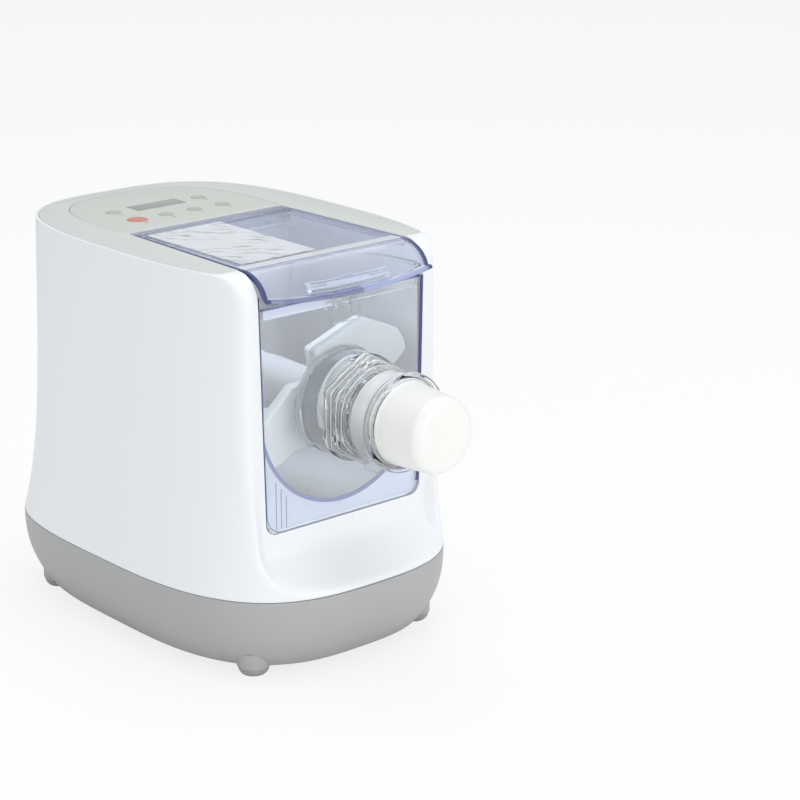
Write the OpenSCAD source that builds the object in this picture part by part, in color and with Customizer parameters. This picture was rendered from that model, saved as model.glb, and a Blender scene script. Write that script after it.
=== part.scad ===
// Electric pasta maker: a mixing bowl under a clear lid, an auger that presses
// dough through a die at the front, and a geared motor behind the bowl.
// +Z is up, the front faces -Y, and the origin lies under the middle of the
// machine on the surface that it stands on. All sizes are in millimetres.

/* [Body] */
// Height of the top deck above the table
deck_h = 295; // [285:1:305]
// Width of the body at the deck
deck_w = 215; // [210:1:222]
// Width of the body at the seam above the base
seam_w = 242; // [236:1:250]
// How far the base's underside is set in from the seam at each side
sole_side = 15.5; // [14:0.5:19]
// Height of the seam between the base and the white shell
seam_h = 62; // [58:1:66]
// From the body's widest station to the front face
face_reach = 130; // [128:0.5:132]
// From the body's widest station to the back of the deck
deck_back = 160; // [156:1:166]
// How far the seam stands behind the deck
back_flare = 11; // [7:1:14]
// From the body's widest station to the front of the seam
seam_front = 165; // [161:1:170]
// How far the underside is set in from the seam, front and back
sole_inset = 19; // [15:1:22]
// Thickness of the body's walls
shell_wall = 3; // [2.6:0.1:3.4]
// Radius that rounds the front face into the deck
shoulder_r = 20; // [18:0.5:22]
// Height at which the front face starts to flare out
flare_h = 85; // [82:1:90]
// Width of the white rim around the deck
rim_w = 2; // [1.6:0.1:2.4]
// Thickness of the deck
deck_t = 3; // [2.8:0.1:3.4]

/* [Feet] */
// Height of the feet below the base
foot_h = 6.5; // [5:0.5:8]
// Radius of a foot where it stands
foot_r = 10; // [8:0.5:11]
// From the side of the base's underside to the middle of a front foot
foot_side = 29; // [28:0.5:34]
// From the side of the base's underside to the middle of a rear foot
foot_rear_side = 20; // [19:0.5:34]
// From the front of the base's underside to the middle of a foot
foot_front = 28; // [27:0.5:34]
// From the back of the base's underside to the middle of a foot
foot_back = 34; // [33:0.5:42]

/* [Bowl] */
// Height of the axis of the bowl, auger and nozzle
axis_h = 190.5; // [189:0.5:192]
// Outer radius of the bowl's round floor
bowl_r = 74.3; // [73:0.1:74.6]
// Thickness of the bowl's wall
bowl_wall = 2.6; // [2.2:0.1:3]
// Gap between the top of the bowl and the deck's top
bowl_drop = 17; // [16:0.5:19]
// From the body's widest station to the back of the bowl
bowl_back = 24; // [23:0.5:25]
// From the lid's side at its front to the window's side at its top
window_side = 1.5; // [1:0.25:2.5]
// Width of the window at its bottom
window_low_w = 143; // [141:0.5:146]
// Height of the window's lower edge
window_h = 105; // [103:0.5:107]
// Radius of the window's lower corners
window_r = 9; // [7:0.5:11]

/* [Lid] */
// Width of the lid at its hinge
lid_w = 140; // [138:0.5:141]
// Width of the lid at its front
lid_front_w = 149; // [147:0.5:150]
// From the body's widest station to the lid's rear edge
lid_back = 28; // [27.5:0.5:29]
// Thickness of the lid
lid_t = 3; // [2.6:0.1:3.4]
// Radius of the lid's hinge barrel
barrel_r = 6.5; // [6.3:0.1:6.8]
// Radius of the hinge pins
pin_r = 2; // [1.7:0.1:2.2]
// Depth of the rim under the lid's edges
skirt_d = 4; // [3:0.5:5]
// How far the lid's lip bows forward in the middle
lip_bow = 4; // [2:0.5:6]
// How far the lid's lip drops in the middle
lip_drop = 5; // [3:0.5:6]

/* [Front panel and nozzle] */
// Thickness of the front panel
panel_t = 3; // [2.6:0.1:3.4]
// Outer radius of the collar around the auger
collar_r = 39; // [38:0.5:40]
// How far the collar stands in front of the panel
collar_reach = 21; // [19:0.5:23]
// How far the collar reaches into the bowl
collar_inside = 6.5; // [5.5:0.5:7]
// Bore radius of the auger tube
tube_bore_r = 27; // [26.5:0.1:27.2]
// Outer radius of the auger tube under its thread
tube_r = 29.6; // [29.3:0.1:29.8]
// Height of the thread rings on the tube
thread_d = 1.6; // [1.2:0.1:1.8]
// Pitch of the thread
thread_pitch = 3.6; // [3.3:0.1:3.9]
// Length of the ribbed part of the die nut
nut_grip_l = 21; // [20.5:0.5:23]
// Length of the smooth part of the die nut
nut_smooth_l = 22; // [21:0.5:24]
// Radius over the nut's ridges at its back
nut_back_r = 42; // [41:0.5:44]
// Radius of the nut's smooth part
nut_smooth_r = 33.4; // [33.2:0.1:34]
// Radius of the nut's front ring
nut_ring_r = 35.8; // [35:0.1:37]
// Width of the nut's front ring
nut_ring_w = 4; // [3:0.5:5]
// Length of the die cap in front of the nut
cap_l = 40; // [37:0.5:45]
// Radius of the die cap where it leaves the nut
cap_r = 29.9; // [29.4:0.1:30.2]
// Radius of the die cap at its front
cap_front_r = 27.8; // [27:0.1:28.6]
// Radius that rounds the die cap's front edge
cap_round = 8; // [5:0.5:10]
// Thickness of the die cap's wall
cap_wall = 4.5; // [3.5:0.1:5.5]
// Diameter of an outlet hole in the die cap
outlet_d = 3.4; // [2:0.1:3.8]
// Radial clearance of the auger in its tube
auger_gap = 0.6; // [0.4:0.1:1]

/* [Paddle] */
// Reach of the paddle's blades from the axis
blade_reach = 69; // [66:0.5:70]
// Thickness of a blade
blade_t = 9; // [7:0.5:10]
// Radius of the paddle's hub
hub_r = 15; // [13:0.5:17]

/* [Gear train] */
// Gear module
gear_m = 1.5; // [1.46:0.01:1.5]
// Teeth of the output gear
output_teeth = 64; // [60:4:64]
// Teeth of the small idler gear
idler_small_teeth = 16; // [15:1:16]
// Teeth of the large idler gear
idler_large_teeth = 60; // [54:6:60]
// Teeth of the motor pinion
pinion_teeth = 12; // [11:1:12]
// Width of the output gear
output_w = 14; // [12:0.5:15]
// Width of the large idler gear
idler_w = 8; // [7:0.5:9]
// Radius of the output shaft
shaft_r = 6; // [5.5:0.1:6.5]
// Radius of the motor
motor_r = 33; // [31:0.5:34]
// Length of the motor
motor_l = 66; // [60:1:68]

/* [Control panel] */
// Half width of the control panel
pad_half_w = 73; // [70:0.5:76]
// From the body's widest station to the panel's rear edge
pad_back = 145; // [142:0.5:147]
// Thickness of the control panel
pad_t = 1.6; // [1.4:0.1:1.8]
// Distance between neighbouring buttons
key_pitch = 26.4; // [25.5:0.1:27]
// Distance between the two rows of buttons
key_rows = 31; // [29:0.5:32]
// Radius of the start button
start_r = 7.6; // [6.6:0.1:8]
// Radius of the other buttons
key_r = 5.6; // [5:0.1:6.2]
// Travel of a button
key_travel = 0.8; // [0.6:0.1:0.9]
// Width of the display
display_w = 45; // [42:0.5:47]
// Depth of the display
display_d = 17; // [15:0.5:18]

/* [Hidden] */
$fn = 96;

// Named clearances
seam_gap = 0.4;
fit_gap = 0.25;
run_gap = 0.06;
move_gap = 0.6;
touch = 0.02;

// Shape of the body, seen from above
ring_n = 80;
front_power = 2.5;
seam_front_power = 2.9;
back_power = 3.1;
seam_back_power = 3.6;
front_bulge = 188;
soft_edge = 8;
flare_power = 4.5;
tuck_power = 2.6;
pocket_d = 14;
pocket_rise = 115;
pocket_low_w = 73;
pocket_top_w = 85;
pocket_edge = 14;

window_w = lid_front_w + 2 * window_side;

// Stations along Y, measured from the body's widest station
lid_front_y = -(face_reach - shoulder_r);
panel_y = -face_reach + 0.5;
panel_back_y = panel_y + panel_t;
collar_front_y = panel_y - collar_reach;
grip_front_y = collar_front_y - nut_grip_l;
smooth_front_y = grip_front_y - nut_smooth_l;
nut_front_y = smooth_front_y - nut_ring_w;
cap_front_y = nut_front_y - cap_l;
rear_reach = deck_back + back_flare;
frame_y = (-cap_front_y - rear_reach) / 2;

hinge_y = lid_back - barrel_r;
hinge_z = deck_h - barrel_r;
deck_under = deck_h - deck_t;
bowl_top = deck_h - bowl_drop;
bowl_in_r = bowl_r - bowl_wall;

module framed() translate([0, frame_y, 0]) children();

function mix(a, b, t) = a + (b - a) * t;
function clamp01(t) = min(1, max(0, t));
function smooth(t) = let (c = clamp01(t)) c * c * (3 - 2 * c);

// 0 at the deck and 1 at the seam
function drop(z) = clamp01((deck_h - z) / (deck_h - seam_h));
function flare(z) = 0.1 * drop(z) + 0.9 * pow(drop(z), flare_power);

// 0 at the seam and 1 at the sole of the base
function tuck(z) = pow(clamp01((seam_h - z) / (seam_h - foot_h)), tuck_power);

// Where the flat front face lies at height z: it rounds into the deck above
// and flares out to the seam below
function face_y(z, w) =
    let (r = shoulder_r, up = z - (deck_h - r))
    up > 0 ? -face_reach + r - sqrt(max(0, pow(r - w, 2) - up * up)) + max(0, up - r + w)
    : z > flare_h ? -face_reach + w
    : -mix(face_reach, seam_front + 12, pow((flare_h - z) / (flare_h - seam_h), 1.15)) + w;

// The face stands in a shallow pocket, which is deepest at its lower corners
function pocket(x, z) =
    pocket_d * pow(clamp01((flare_h + pocket_rise - z) / pocket_rise), 1.5)
    * smooth((abs(x) - mix(pocket_low_w, pocket_top_w,
        clamp01((z - flare_h) / (deck_h - flare_h)))) / pocket_edge);

// A smooth maximum, which rounds the edge between the face and the sides
function soft_max(a, b, w) = (a + b + sqrt(pow(a - b, 2) + w * w)) / 2;

// One closed ring of points around the body at height z, set in by w
function body_ring(z, w = 0) =
    let (
        f = flare(z),
        a = mix(deck_w, seam_w, f) / 2 - sole_side * tuck(z) - w,
        front = mix(front_bulge, seam_front, drop(z)) - sole_inset * tuck(z) - w,
        back = mix(deck_back, rear_reach, f) - sole_inset * tuck(z) - w,
        nf = mix(front_power, seam_front_power, drop(z)),
        nb = mix(back_power, seam_back_power, drop(z))
    )
    [for (i = [0:ring_n - 1])
        let (
            t = 360 * i / ring_n,
            n = sin(t) < 0 ? nf : nb,
            x = a * sign(cos(t)) * pow(abs(cos(t)), 2 / n),
            y = (sin(t) < 0 ? front : back) * sign(sin(t)) * pow(abs(sin(t)), 2 / n)
        )
        [x, z < seam_h ? y : soft_max(y, face_y(z, w) - pocket(x, z), soft_edge), z]];

// Side faces between closed rings that have the same number of points
function ring_faces(n, m, wrap) = [for (j = [0:m - (wrap ? 1 : 2)], i = [0:n - 1])
    let (
        a = j * n + i, b = j * n + (i + 1) % n,
        c = ((j + 1) % m) * n + (i + 1) % n, d = ((j + 1) % m) * n + i
    )
    each [[a, c, b], [a, d, c]]];

// A wall whose rings go up its outside and down its inside
module ring_wall(rings)
    polyhedron([for (r = rings) each r], ring_faces(len(rings[0]), len(rings), true));

// A solid whose first and last rings are closed by flat caps. Each ring has an
// even number of points, and its first half faces its second half turned round
module ring_solid(rings) {
    n = len(rings[0]);
    m = len(rings);
    last = (m - 1) * n;
    cap = concat([[0, 1, n - 1]],
        [for (i = [1:n / 2 - 2]) each [[i, i + 1, n - 1 - i], [i, n - 1 - i, n - i]]],
        [[n / 2 - 1, n / 2, n / 2 + 1]]);
    polyhedron([for (r = rings) each r],
        concat(cap, ring_faces(n, m, false), [for (f = cap) [last + f[2], last + f[1], last + f[0]]]));
}

// A child drawn in X and Y stands up along the drive axis: its Y becomes Z and
// it reaches from y1 forward to y0
module along_y(y0, y1) translate([0, y1, 0]) rotate([90, 0, 0]) linear_extrude(y1 - y0) children();

// A round bar along Y at height z
module bar_y(r, y0, y1, z = axis_h, x = 0)
    translate([x, y1, z]) rotate([90, 0, 0]) cylinder(r = r, h = y1 - y0);

// A solid of revolution around the drive axis from points of [radius, y]
module turned(points) translate([0, 0, axis_h]) rotate([90, 0, 0])
    rotate_extrude() polygon([for (p = points) [p[0], -p[1]]]);

// ---- Base and feet ----

base_floor = foot_h + shell_wall;
chassis_h = 30;
chassis_t = 3;
chassis_top = chassis_h + chassis_t;
boss_x = 68;
boss_front_y = -112;
boss_rear_y = 112;
boss_r = 6;
boss_hole_r = 1.8;
foot_pad_h = 11;
foot_pad_rim = 2.2;
inlet_w = 30;
inlet_h = 20;
inlet_z = 43;
sole_levels = [0, 0.12, 0.3, 0.55, 0.8, 1];
vent_w = 3;

module at_bosses() for (x = [-boss_x, boss_x], y = [boss_front_y, boss_rear_y])
    translate([x, y, 0]) children();

module base_shell() color("darkgray") framed() difference() {
    union() {
        ring_solid(concat(
            [for (s = sole_levels) body_ring(mix(foot_h, seam_h - 0.01, s))],
            [for (i = [len(sole_levels) - 1:-1:0])
                let (z = mix(base_floor, seam_h - 0.01, sole_levels[i])) body_ring(z, shell_wall)]));
        at_bosses() translate([0, 0, base_floor - 1])
            cylinder(r = boss_r, h = chassis_h - base_floor + 1);
        at_feet() translate([0, 0, foot_h]) cylinder(r = foot_r + foot_pad_rim, h = foot_pad_h);
    }
    at_bosses() translate([0, 0, -1]) cylinder(r = boss_hole_r, h = chassis_h + 2);
    at_bosses() translate([0, 0, foot_h - 1]) cylinder(r = 2 * boss_hole_r, h = 5);
    translate([-inlet_w / 2 - fit_gap, rear_reach - 20, inlet_z - inlet_h / 2 - fit_gap])
        cube([inlet_w + 2 * fit_gap, 40, inlet_h + 2 * fit_gap]);
    for (i = [-4:4]) translate([i * 9 - vent_w / 2, 40, 0]) cube([vent_w, 50, base_floor + 1]);
}

module foot_place(sx, sy) translate([
    sx * (seam_w / 2 - sole_side - (sy < 0 ? foot_side : foot_rear_side)),
    sy < 0 ? foot_front - seam_front + sole_inset : rear_reach - sole_inset - foot_back, 0])
    children();

module at_feet() for (sx = [-1, 1], sy = [-1, 1]) foot_place(sx, sy) children();

module foot(sx, sy) color("gray") framed() foot_place(sx, sy)
    cylinder(r1 = foot_r, r2 = foot_r + 2, h = foot_h - touch);

module base_screws() color("silver") framed() at_bosses() {
    translate([0, 0, foot_h + 1]) cylinder(r = 2 * boss_hole_r - fit_gap, h = 3 - touch);
    translate([0, 0, foot_h + 3]) cylinder(r = boss_hole_r - touch, h = chassis_top - foot_h - 1);
}

// ---- White shell ----

shell_levels = [seam_h + seam_gap, seam_h + 5, seam_h + 10, seam_h + 16, flare_h,
    flare_h + 8, flare_h + 25, flare_h + 60, flare_h + 120, deck_h - shoulder_r,
    deck_h - 0.6 * shoulder_r, deck_h - 0.3 * shoulder_r, deck_h - 0.1 * shoulder_r, deck_h];
inner_levels = [seam_h + seam_gap, seam_h + 10, flare_h, flare_h + 30, flare_h + 100,
    deck_h - shoulder_r, deck_h - 0.5 * shoulder_r, deck_under];

// The window's outline, with its lower corners rounded
module window_outline(gap = 0) {
    w1 = window_w / 2 - gap;
    w0 = window_low_w / 2 - gap;
    low = window_h + gap;
    r = window_r;
    corner = [for (t = [0:9:90]) [w0 - r + r * sin(t), low + r - r * cos(t)]];
    right = concat(corner, [[w1, deck_h + 2]]);
    polygon(concat(right, [for (i = [len(right) - 1:-1:0]) [-right[i][0], right[i][1]]]));
}

module body_shell() color("whitesmoke") framed() difference() {
    ring_wall(concat(
        [for (z = shell_levels) body_ring(z)],
        [body_ring(deck_h, rim_w), body_ring(deck_under, rim_w)],
        [for (i = [len(inner_levels) - 1:-1:0]) body_ring(inner_levels[i], shell_wall)]));
    along_y(-face_reach - 20, lid_front_y + 10) window_outline();
    for (i = [-3:3]) translate([i * 8 - vent_w / 2, deck_back - 20, 95]) cube([vent_w, 50, 40]);
}

// ---- Deck and controls ----

well_front_y = -face_reach;
pad_front_y = lid_back + 6;
pad_mid_y = 48;
pad_power = 3;
key_front_y = 61.5;
key_rear_y = key_front_y + key_rows;
stem_r = 3;
stem_l = 8;
board_t = 1.6;
board_top = deck_h - 12;
board_front_y = 48;
board_back_y = 112;
board_half_w = 56;
post_x = 52;
post_edge = 4;
post_r = 3;
post_screw_r = 1.2;
display_edge = 1;
module_edge = 1.5;
switch_w = 6;
socket_x = 10;
socket_w = 24;
socket_h = 6;
socket_t = 5;

// The rounded-rectangle outline of the control panel: straight in front, and a
// superellipse behind
module pad_outline(gap = 0) {
    a = pad_half_w - gap;
    b = pad_back - pad_mid_y - gap;
    polygon(concat([[-a, pad_front_y + gap], [a, pad_front_y + gap]],
        [for (t = [0:4:180]) [a * sign(cos(t)) * pow(abs(cos(t)), 2 / pad_power),
            pad_mid_y + b * pow(sin(t), 2 / pad_power)]]));
}

module well_outline(gap = 0) {
    y0 = well_front_y - 20;
    y1 = lid_back + gap;
    w0 = mix(lid_w, lid_front_w, (lid_back - y0) / (lid_back - lid_front_y)) / 2 + gap;
    w1 = lid_w / 2 + gap;
    polygon([[-w0, y0], [w0, y0], [w1, y1], [-w1, y1]]);
}

// Keys 0 to 3 are the front row from the left, and 4 and 5 flank the display
module key_place(i) translate([
    i < 4 ? (i - 1.5) * key_pitch : (i == 4 ? -1.5 : 1.5) * key_pitch,
    i < 4 ? key_front_y : key_rear_y, 0]) children();

function key_radius(i) = i == 0 ? start_r : key_r;

module display_place() translate([0, key_rear_y, 0]) children();

module at_posts() for (x = [-post_x, post_x], y = [board_front_y + post_edge, board_back_y - post_edge])
    translate([x, y, 0]) children();

module top_deck() color("lightgray") framed() difference() {
    union() {
        translate([0, 0, deck_under]) linear_extrude(deck_t)
            polygon([for (p = body_ring(deck_h, rim_w + fit_gap)) [p[0], p[1]]]);
        at_posts() translate([0, 0, board_top]) cylinder(r = post_r, h = deck_under - board_top + 1);
    }
    translate([0, 0, deck_under - 1]) linear_extrude(deck_t + 2) well_outline(move_gap);
    translate([0, 0, deck_h - pad_t]) linear_extrude(pad_t + 1) pad_outline();
    for (i = [0:5]) key_place(i) translate([0, 0, deck_under - 1])
        cylinder(r = stem_r + fit_gap, h = deck_t + 2);
    display_place() translate([display_edge - display_w / 2, display_edge - display_d / 2, deck_under - 1])
        cube([display_w - 2 * display_edge, display_d - 2 * display_edge, deck_t + 2]);
    at_posts() translate([0, 0, board_top - 1]) cylinder(r = post_screw_r, h = 7);
}

module control_panel() color("gainsboro") framed() difference() {
    translate([0, 0, deck_h - pad_t + touch]) linear_extrude(pad_t) pad_outline(seam_gap);
    for (i = [0:5]) key_place(i) translate([0, 0, deck_h - pad_t - 1])
        cylinder(r = key_radius(i) + fit_gap, h = pad_t + 2);
    display_place() translate([-display_w / 2 - fit_gap, -display_d / 2 - fit_gap, deck_h - pad_t - 1])
        cube([display_w + 2 * fit_gap, display_d + 2 * fit_gap, pad_t + 2]);
}

module display_window() color("darkseagreen") framed() display_place()
    translate([-display_w / 2, -display_d / 2, deck_h - pad_t + touch])
        cube([display_w, display_d, pad_t]);

module display_module() color("dimgray") framed() display_place()
    translate([module_edge - display_w / 2, module_edge - display_d / 2, board_top + touch])
        cube([display_w - 2 * module_edge, display_d - 2 * module_edge, deck_h - pad_t - board_top - 0.1]);

// The button's cap stands proud of the panel, its stem reaches down to the
// switch, and a collar under the deck holds it in
module key(i) color(i == 0 ? "orangered" : "gainsboro") framed() key_place(i) {
    r = key_radius(i);
    translate([0, 0, deck_h - pad_t + key_travel + 0.2]) cylinder(r = r, h = pad_t - 0.3);
    translate([0, 0, deck_h - stem_l]) cylinder(r = stem_r, h = stem_l);
    translate([0, 0, deck_under - 1.6]) cylinder(r = stem_r + 1.4, h = 1.4);
}

module control_board() color("darkgreen") framed() {
    difference() {
        translate([-board_half_w, board_front_y, board_top - board_t])
            cube([2 * board_half_w, board_back_y - board_front_y, board_t - touch]);
        at_posts() cylinder(r = board_hole_r, h = deck_h);
    }
    for (i = [0:5]) key_place(i) translate([-switch_w / 2, -switch_w / 2, board_top - 0.5])
        cube([switch_w, switch_w, deck_h - stem_l - key_travel - 0.05 - board_top + 0.5]);
    translate([socket_x, ribbon_y - ribbon_t - 1, board_top - board_t - socket_h])
        cube([socket_w, ribbon_t + socket_t, socket_h + 0.5]);
}

// ---- Bowl and its liner ----

liner_half_w = 77.5;
liner_wall = 2.4;
liner_floor = axis_h - bowl_r - 1.9;
liner_rear_y = 30;
liner_flange = 4.2;
liner_hole_r = 24;
flange_back_y = panel_back_y + 4;
bowl_front_y = panel_back_y + 0.9;
bowl_rim = 2.4;
plate_half_w = 68;
seal_r = 11;
seal_w = 6;

module u_shape(r, top) {
    intersection() {
        translate([0, axis_h]) circle(r);
        translate([-r, axis_h - r]) square([2 * r, top - axis_h + r]);
    }
    translate([-r, axis_h]) square([2 * r, top - axis_h]);
}

// The space under the rounded shoulder, seen from the side
module under_shoulder(gap) translate([-seam_w / 2, 0, 0]) rotate([90, 0, 90])
    linear_extrude(seam_w) {
        r = shoulder_r - shell_wall - gap;
        translate([lid_front_y, deck_h - shoulder_r]) circle(r);
        translate([-face_reach + shell_wall, 0])
            square([face_reach + rear_reach, deck_h - shoulder_r]);
        translate([lid_front_y + gap / 2, 0]) square([rear_reach - lid_front_y, deck_h]);
    }

module chamber_liner() color("lavender") framed() {
    difference() {
        intersection() {
            translate([-liner_half_w - liner_wall, flange_back_y - touch, liner_floor - liner_wall])
                cube([2 * (liner_half_w + liner_wall), liner_rear_y + liner_wall - flange_back_y,
                    deck_under - touch - liner_floor + liner_wall]);
            under_shoulder(3);
        }
        translate([-liner_half_w, flange_back_y - 5, liner_floor])
            cube([2 * liner_half_w, liner_rear_y - flange_back_y + 5, deck_h]);
        bar_y(liner_hole_r, liner_rear_y - 5, liner_rear_y + 10);
        for (s = [-1, 1]) translate([s * 51 - 4, liner_rear_y - 5, deck_under - 12])
            cube([8, 10, 5]);
    }
    along_y(panel_back_y + 2, flange_back_y) difference() {
        translate([-liner_half_w - liner_flange, liner_floor - 12])
            square([2 * (liner_half_w + liner_flange), deck_h - shoulder_r - 6 - liner_floor + 12]);
        intersection() {
            window_outline(1.5);
            translate([-100, liner_floor]) square([200, 200]);
        }
        u_shape(bowl_r + seam_gap, deck_h);
    }
}

module mixing_bowl() color("lightsteelblue", 0.5) framed() {
    difference() {
        union() {
            along_y(bowl_front_y, bowl_back) u_shape(bowl_r, bowl_top);
            translate([-bowl_r - bowl_rim, bowl_front_y + 5, bowl_top - bowl_wall])
                cube([2 * (bowl_r + bowl_rim), bowl_back - bowl_front_y - 5, bowl_wall]);
            along_y(bowl_front_y, bowl_front_y + bowl_wall) translate([-plate_half_w, liner_floor + touch])
                square([2 * plate_half_w, bowl_r * 0.6]);
            for (s = [-1, 1], y = [bowl_front_y, bowl_back - 46])
                translate([s * 60 - bowl_wall / 2, y, liner_floor + touch]) cube([bowl_wall, 46, 38]);
        }
        along_y(bowl_front_y - 1, bowl_back - bowl_wall) u_shape(bowl_in_r, bowl_top + 5);
        bar_y(seal_r, bowl_back - 10, bowl_back + 5);
    }
    difference() {
        bar_y(seal_r + 3, bowl_back - seal_w - 1, bowl_back - bowl_wall);
        bar_y(seal_r, bowl_back - 10, bowl_back + 5);
    }
}

module shaft_seal() color("dimgray") framed() difference() {
    bar_y(seal_r - run_gap, bowl_back - seal_w, bowl_back);
    bar_y(shaft_r + run_gap, bowl_back - 10, bowl_back + 5);
}

// ---- Lid ----

apron_a = 26;
apron_b = 20;
stations = [-1, -0.98, -0.965, -0.96, -0.8, -0.65, -0.5, -0.49, -0.25, 0, 0.25, 0.49, 0.5,
    0.65, 0.8, 0.96, 0.965, 0.98, 1];
grip_d = 2.2;
lip_l = 4;
lip_t = 2.9;
lip_z = deck_h - apron_b + 4.4;
bracket_w = 6.6;
label_w = 66;
label_l = 112;
label_t = 0.25;
label_side = 6;
label_front = 13;

function lid_half(y) = mix(lid_w, lid_front_w,
    (lid_back - y) / (lid_back - lid_front_y + apron_a)) / 2;

// The lid's section, from the rear of its hinge barrel forward along the underside
// to the lip and back over the top. The points of the way back face those of the
// way out: [y, z, share of the bow, share of the skirt, share of the grip]
lid_section = concat(
    [for (a = [0:30:150]) barrel_point(-a)],
    [[hinge_y - barrel_r * 0.95, hinge_z + barrel_r - lid_t - 1.6, 0, 0, 0],
     [hinge_y - barrel_r - 4, deck_h - lid_t, 0, 1, 0],
     [lid_front_y / 2, deck_h - lid_t, 0, 1, 0]],
    [for (t = [0, 15, 30, 45, 55, 60, 65, 70, 75]) [lid_front_y - (apron_a - lid_t) * sin(t),
        deck_h - apron_b + (apron_b - lid_t) * cos(t), pow(sin(t), 3), t == 0 ? 1 : 0, 0]],
    [[lid_front_y - apron_a + 1.6, lip_z - lip_t / 2, 1, 0, 0],
     [lid_front_y - apron_a - lip_l / 2, lip_z - lip_t, 1, 0, 0],
     [lid_front_y - apron_a - lip_l, lip_z - lip_t / 2, 1, 0, 0],
     [lid_front_y - apron_a - 0.85 * lip_l, lip_z, 1, 0, 0]],
    [for (t = [76, 70, 69, 60, 59, 45, 30, 15, 0]) [lid_front_y - apron_a * sin(t),
        deck_h - apron_b + apron_b * cos(t), pow(sin(t), 3), 0, t < 70 && t > 59 ? 1 : 0]],
    [[lid_front_y / 2, deck_h, 0, 0, 0]],
    [for (k = [barrel_r + 4, barrel_r, barrel_r * 0.8, barrel_r / 2]) [hinge_y - k, deck_h, 0, 0, 0]],
    [for (a = [90, 67.5, 45, 22.5]) barrel_point(a)]
);

function barrel_point(a) = [hinge_y + barrel_r * cos(a), hinge_z + barrel_r * sin(a), 0, 0, 0];

function lid_ring(s) = [for (p = lid_section) [
    s * lid_half(p[0]),
    p[0] - p[2] * lip_bow * (1 - s * s) - (abs(s) < 0.495 ? p[4] * grip_d : 0),
    p[1] - p[2] * lip_drop * (1 - s * s) - (abs(s) > 0.962 ? p[3] * skirt_d : 0)]];

module lid() color("lightsteelblue", 0.4) framed() difference() {
    ring_solid([for (s = stations) lid_ring(-s)]);
    for (s = [-1, 1]) translate([s * (lid_w / 2 - 4), hinge_y, hinge_z]) rotate([0, 90, 0])
        cylinder(r = pin_r + run_gap, h = 16, center = true);
    translate([50, hinge_y, hinge_z - barrel_r - 1]) cylinder(r = 2.1, h = 5);
}

module lid_label() color("white") framed()
    translate([label_side - lid_w / 2, lid_front_y + label_front, deck_h])
        cube([label_w, label_l, label_t]);

module lid_magnet() color("dimgray") framed()
    translate([50, hinge_y, hinge_z - barrel_r + 0.2]) cylinder(r = 2.08, h = 3.7);

module lid_sensor() color("black") framed()
    translate([44, liner_rear_y + liner_wall + touch, deck_under - 14]) cube([14, 5, 10]);

module hinge_brackets() color("lavender") framed() for (s = [-1, 1]) difference() {
    translate([s * (lid_w / 2 + 0.5 + bracket_w / 2) - bracket_w / 2, hinge_y - 6, hinge_z - 6])
        cube([bracket_w, 12, deck_under - touch - hinge_z + 6]);
    translate([s * lid_w / 2, hinge_y, hinge_z]) rotate([0, 90, 0])
        cylinder(r = pin_r + touch, h = 30, center = true);
}

module hinge_pins() color("silver") framed() for (s = [-1, 1])
    translate([s * (lid_w / 2 + 0.5), hinge_y, hinge_z]) rotate([0, 90, 0])
        cylinder(r = pin_r, h = 12, center = true);

// ---- Front panel, nut and die ----

panel_top = deck_h - 25;
collar_wall = 3;
tube_end_y = grip_front_y - 1;
ring_count = floor((collar_front_y - tube_end_y) / thread_pitch + 0.1);
washer_t = 1.2;
washer_y = tube_end_y - washer_t;
cap_back_y = washer_y - touch;
cap_flange_r = nut_smooth_r - 1.9;

module front_panel() color("aliceblue", 0.4) framed() {
    difference() {
        union() {
            along_y(panel_y, panel_back_y) intersection() {
                window_outline(seam_gap);
                translate([-100, 0]) square([200, panel_top]);
            }
            along_y(panel_back_y - touch, panel_back_y + 3) translate([-70, panel_top - 8])
                square([140, 8]);
            along_y(panel_back_y - touch, panel_back_y + 2.5) translate([-8, panel_top - 22])
                square([24, 20]);
            bar_y(collar_r, collar_front_y, panel_back_y + collar_inside);
            bar_y(tube_r, tube_end_y, collar_front_y + 1);
            for (i = [0:ring_count - 1])
                bar_y(tube_r + thread_d, collar_front_y - (i + 0.9) * thread_pitch,
                    collar_front_y - (i + 0.5) * thread_pitch);
        }
        bar_y(collar_r - collar_wall, collar_front_y + collar_wall, panel_back_y + collar_inside + 1);
        bar_y(tube_bore_r, tube_end_y - 1, panel_back_y);
        translate([4, panel_back_y + 0.5, panel_top - 16]) cube([6, 10, 8]);
    }
}

module die_washer() color("dimgray") framed() difference() {
    bar_y(tube_r, washer_y, tube_end_y - touch);
    bar_y(tube_bore_r, washer_y - 1, tube_end_y + 1);
}

module die_nut() color("aliceblue", 0.4) framed() difference() {
    back_y = collar_front_y - 0.5;
    union() {
        translate([0, back_y, axis_h]) rotate([90, 0, 0]) intersection() {
            rotate(30) cylinder(r1 = nut_back_r, r2 = nut_back_r - 2.4, h = back_y - grip_front_y, $fn = 6);
            cylinder(r1 = nut_back_r - 0.8, r2 = nut_smooth_r + 0.8, h = back_y - grip_front_y);
        }
        bar_y(nut_smooth_r, smooth_front_y - 1, grip_front_y + 1);
        bar_y(nut_ring_r, nut_front_y, smooth_front_y);
    }
    bar_y(tube_r + thread_d + move_gap, tube_end_y, back_y + 1);
    bar_y(cap_flange_r + fit_gap, smooth_front_y, tube_end_y + 1);
    bar_y(cap_r + fit_gap, nut_front_y - 1, smooth_front_y + 1);
}

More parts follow.
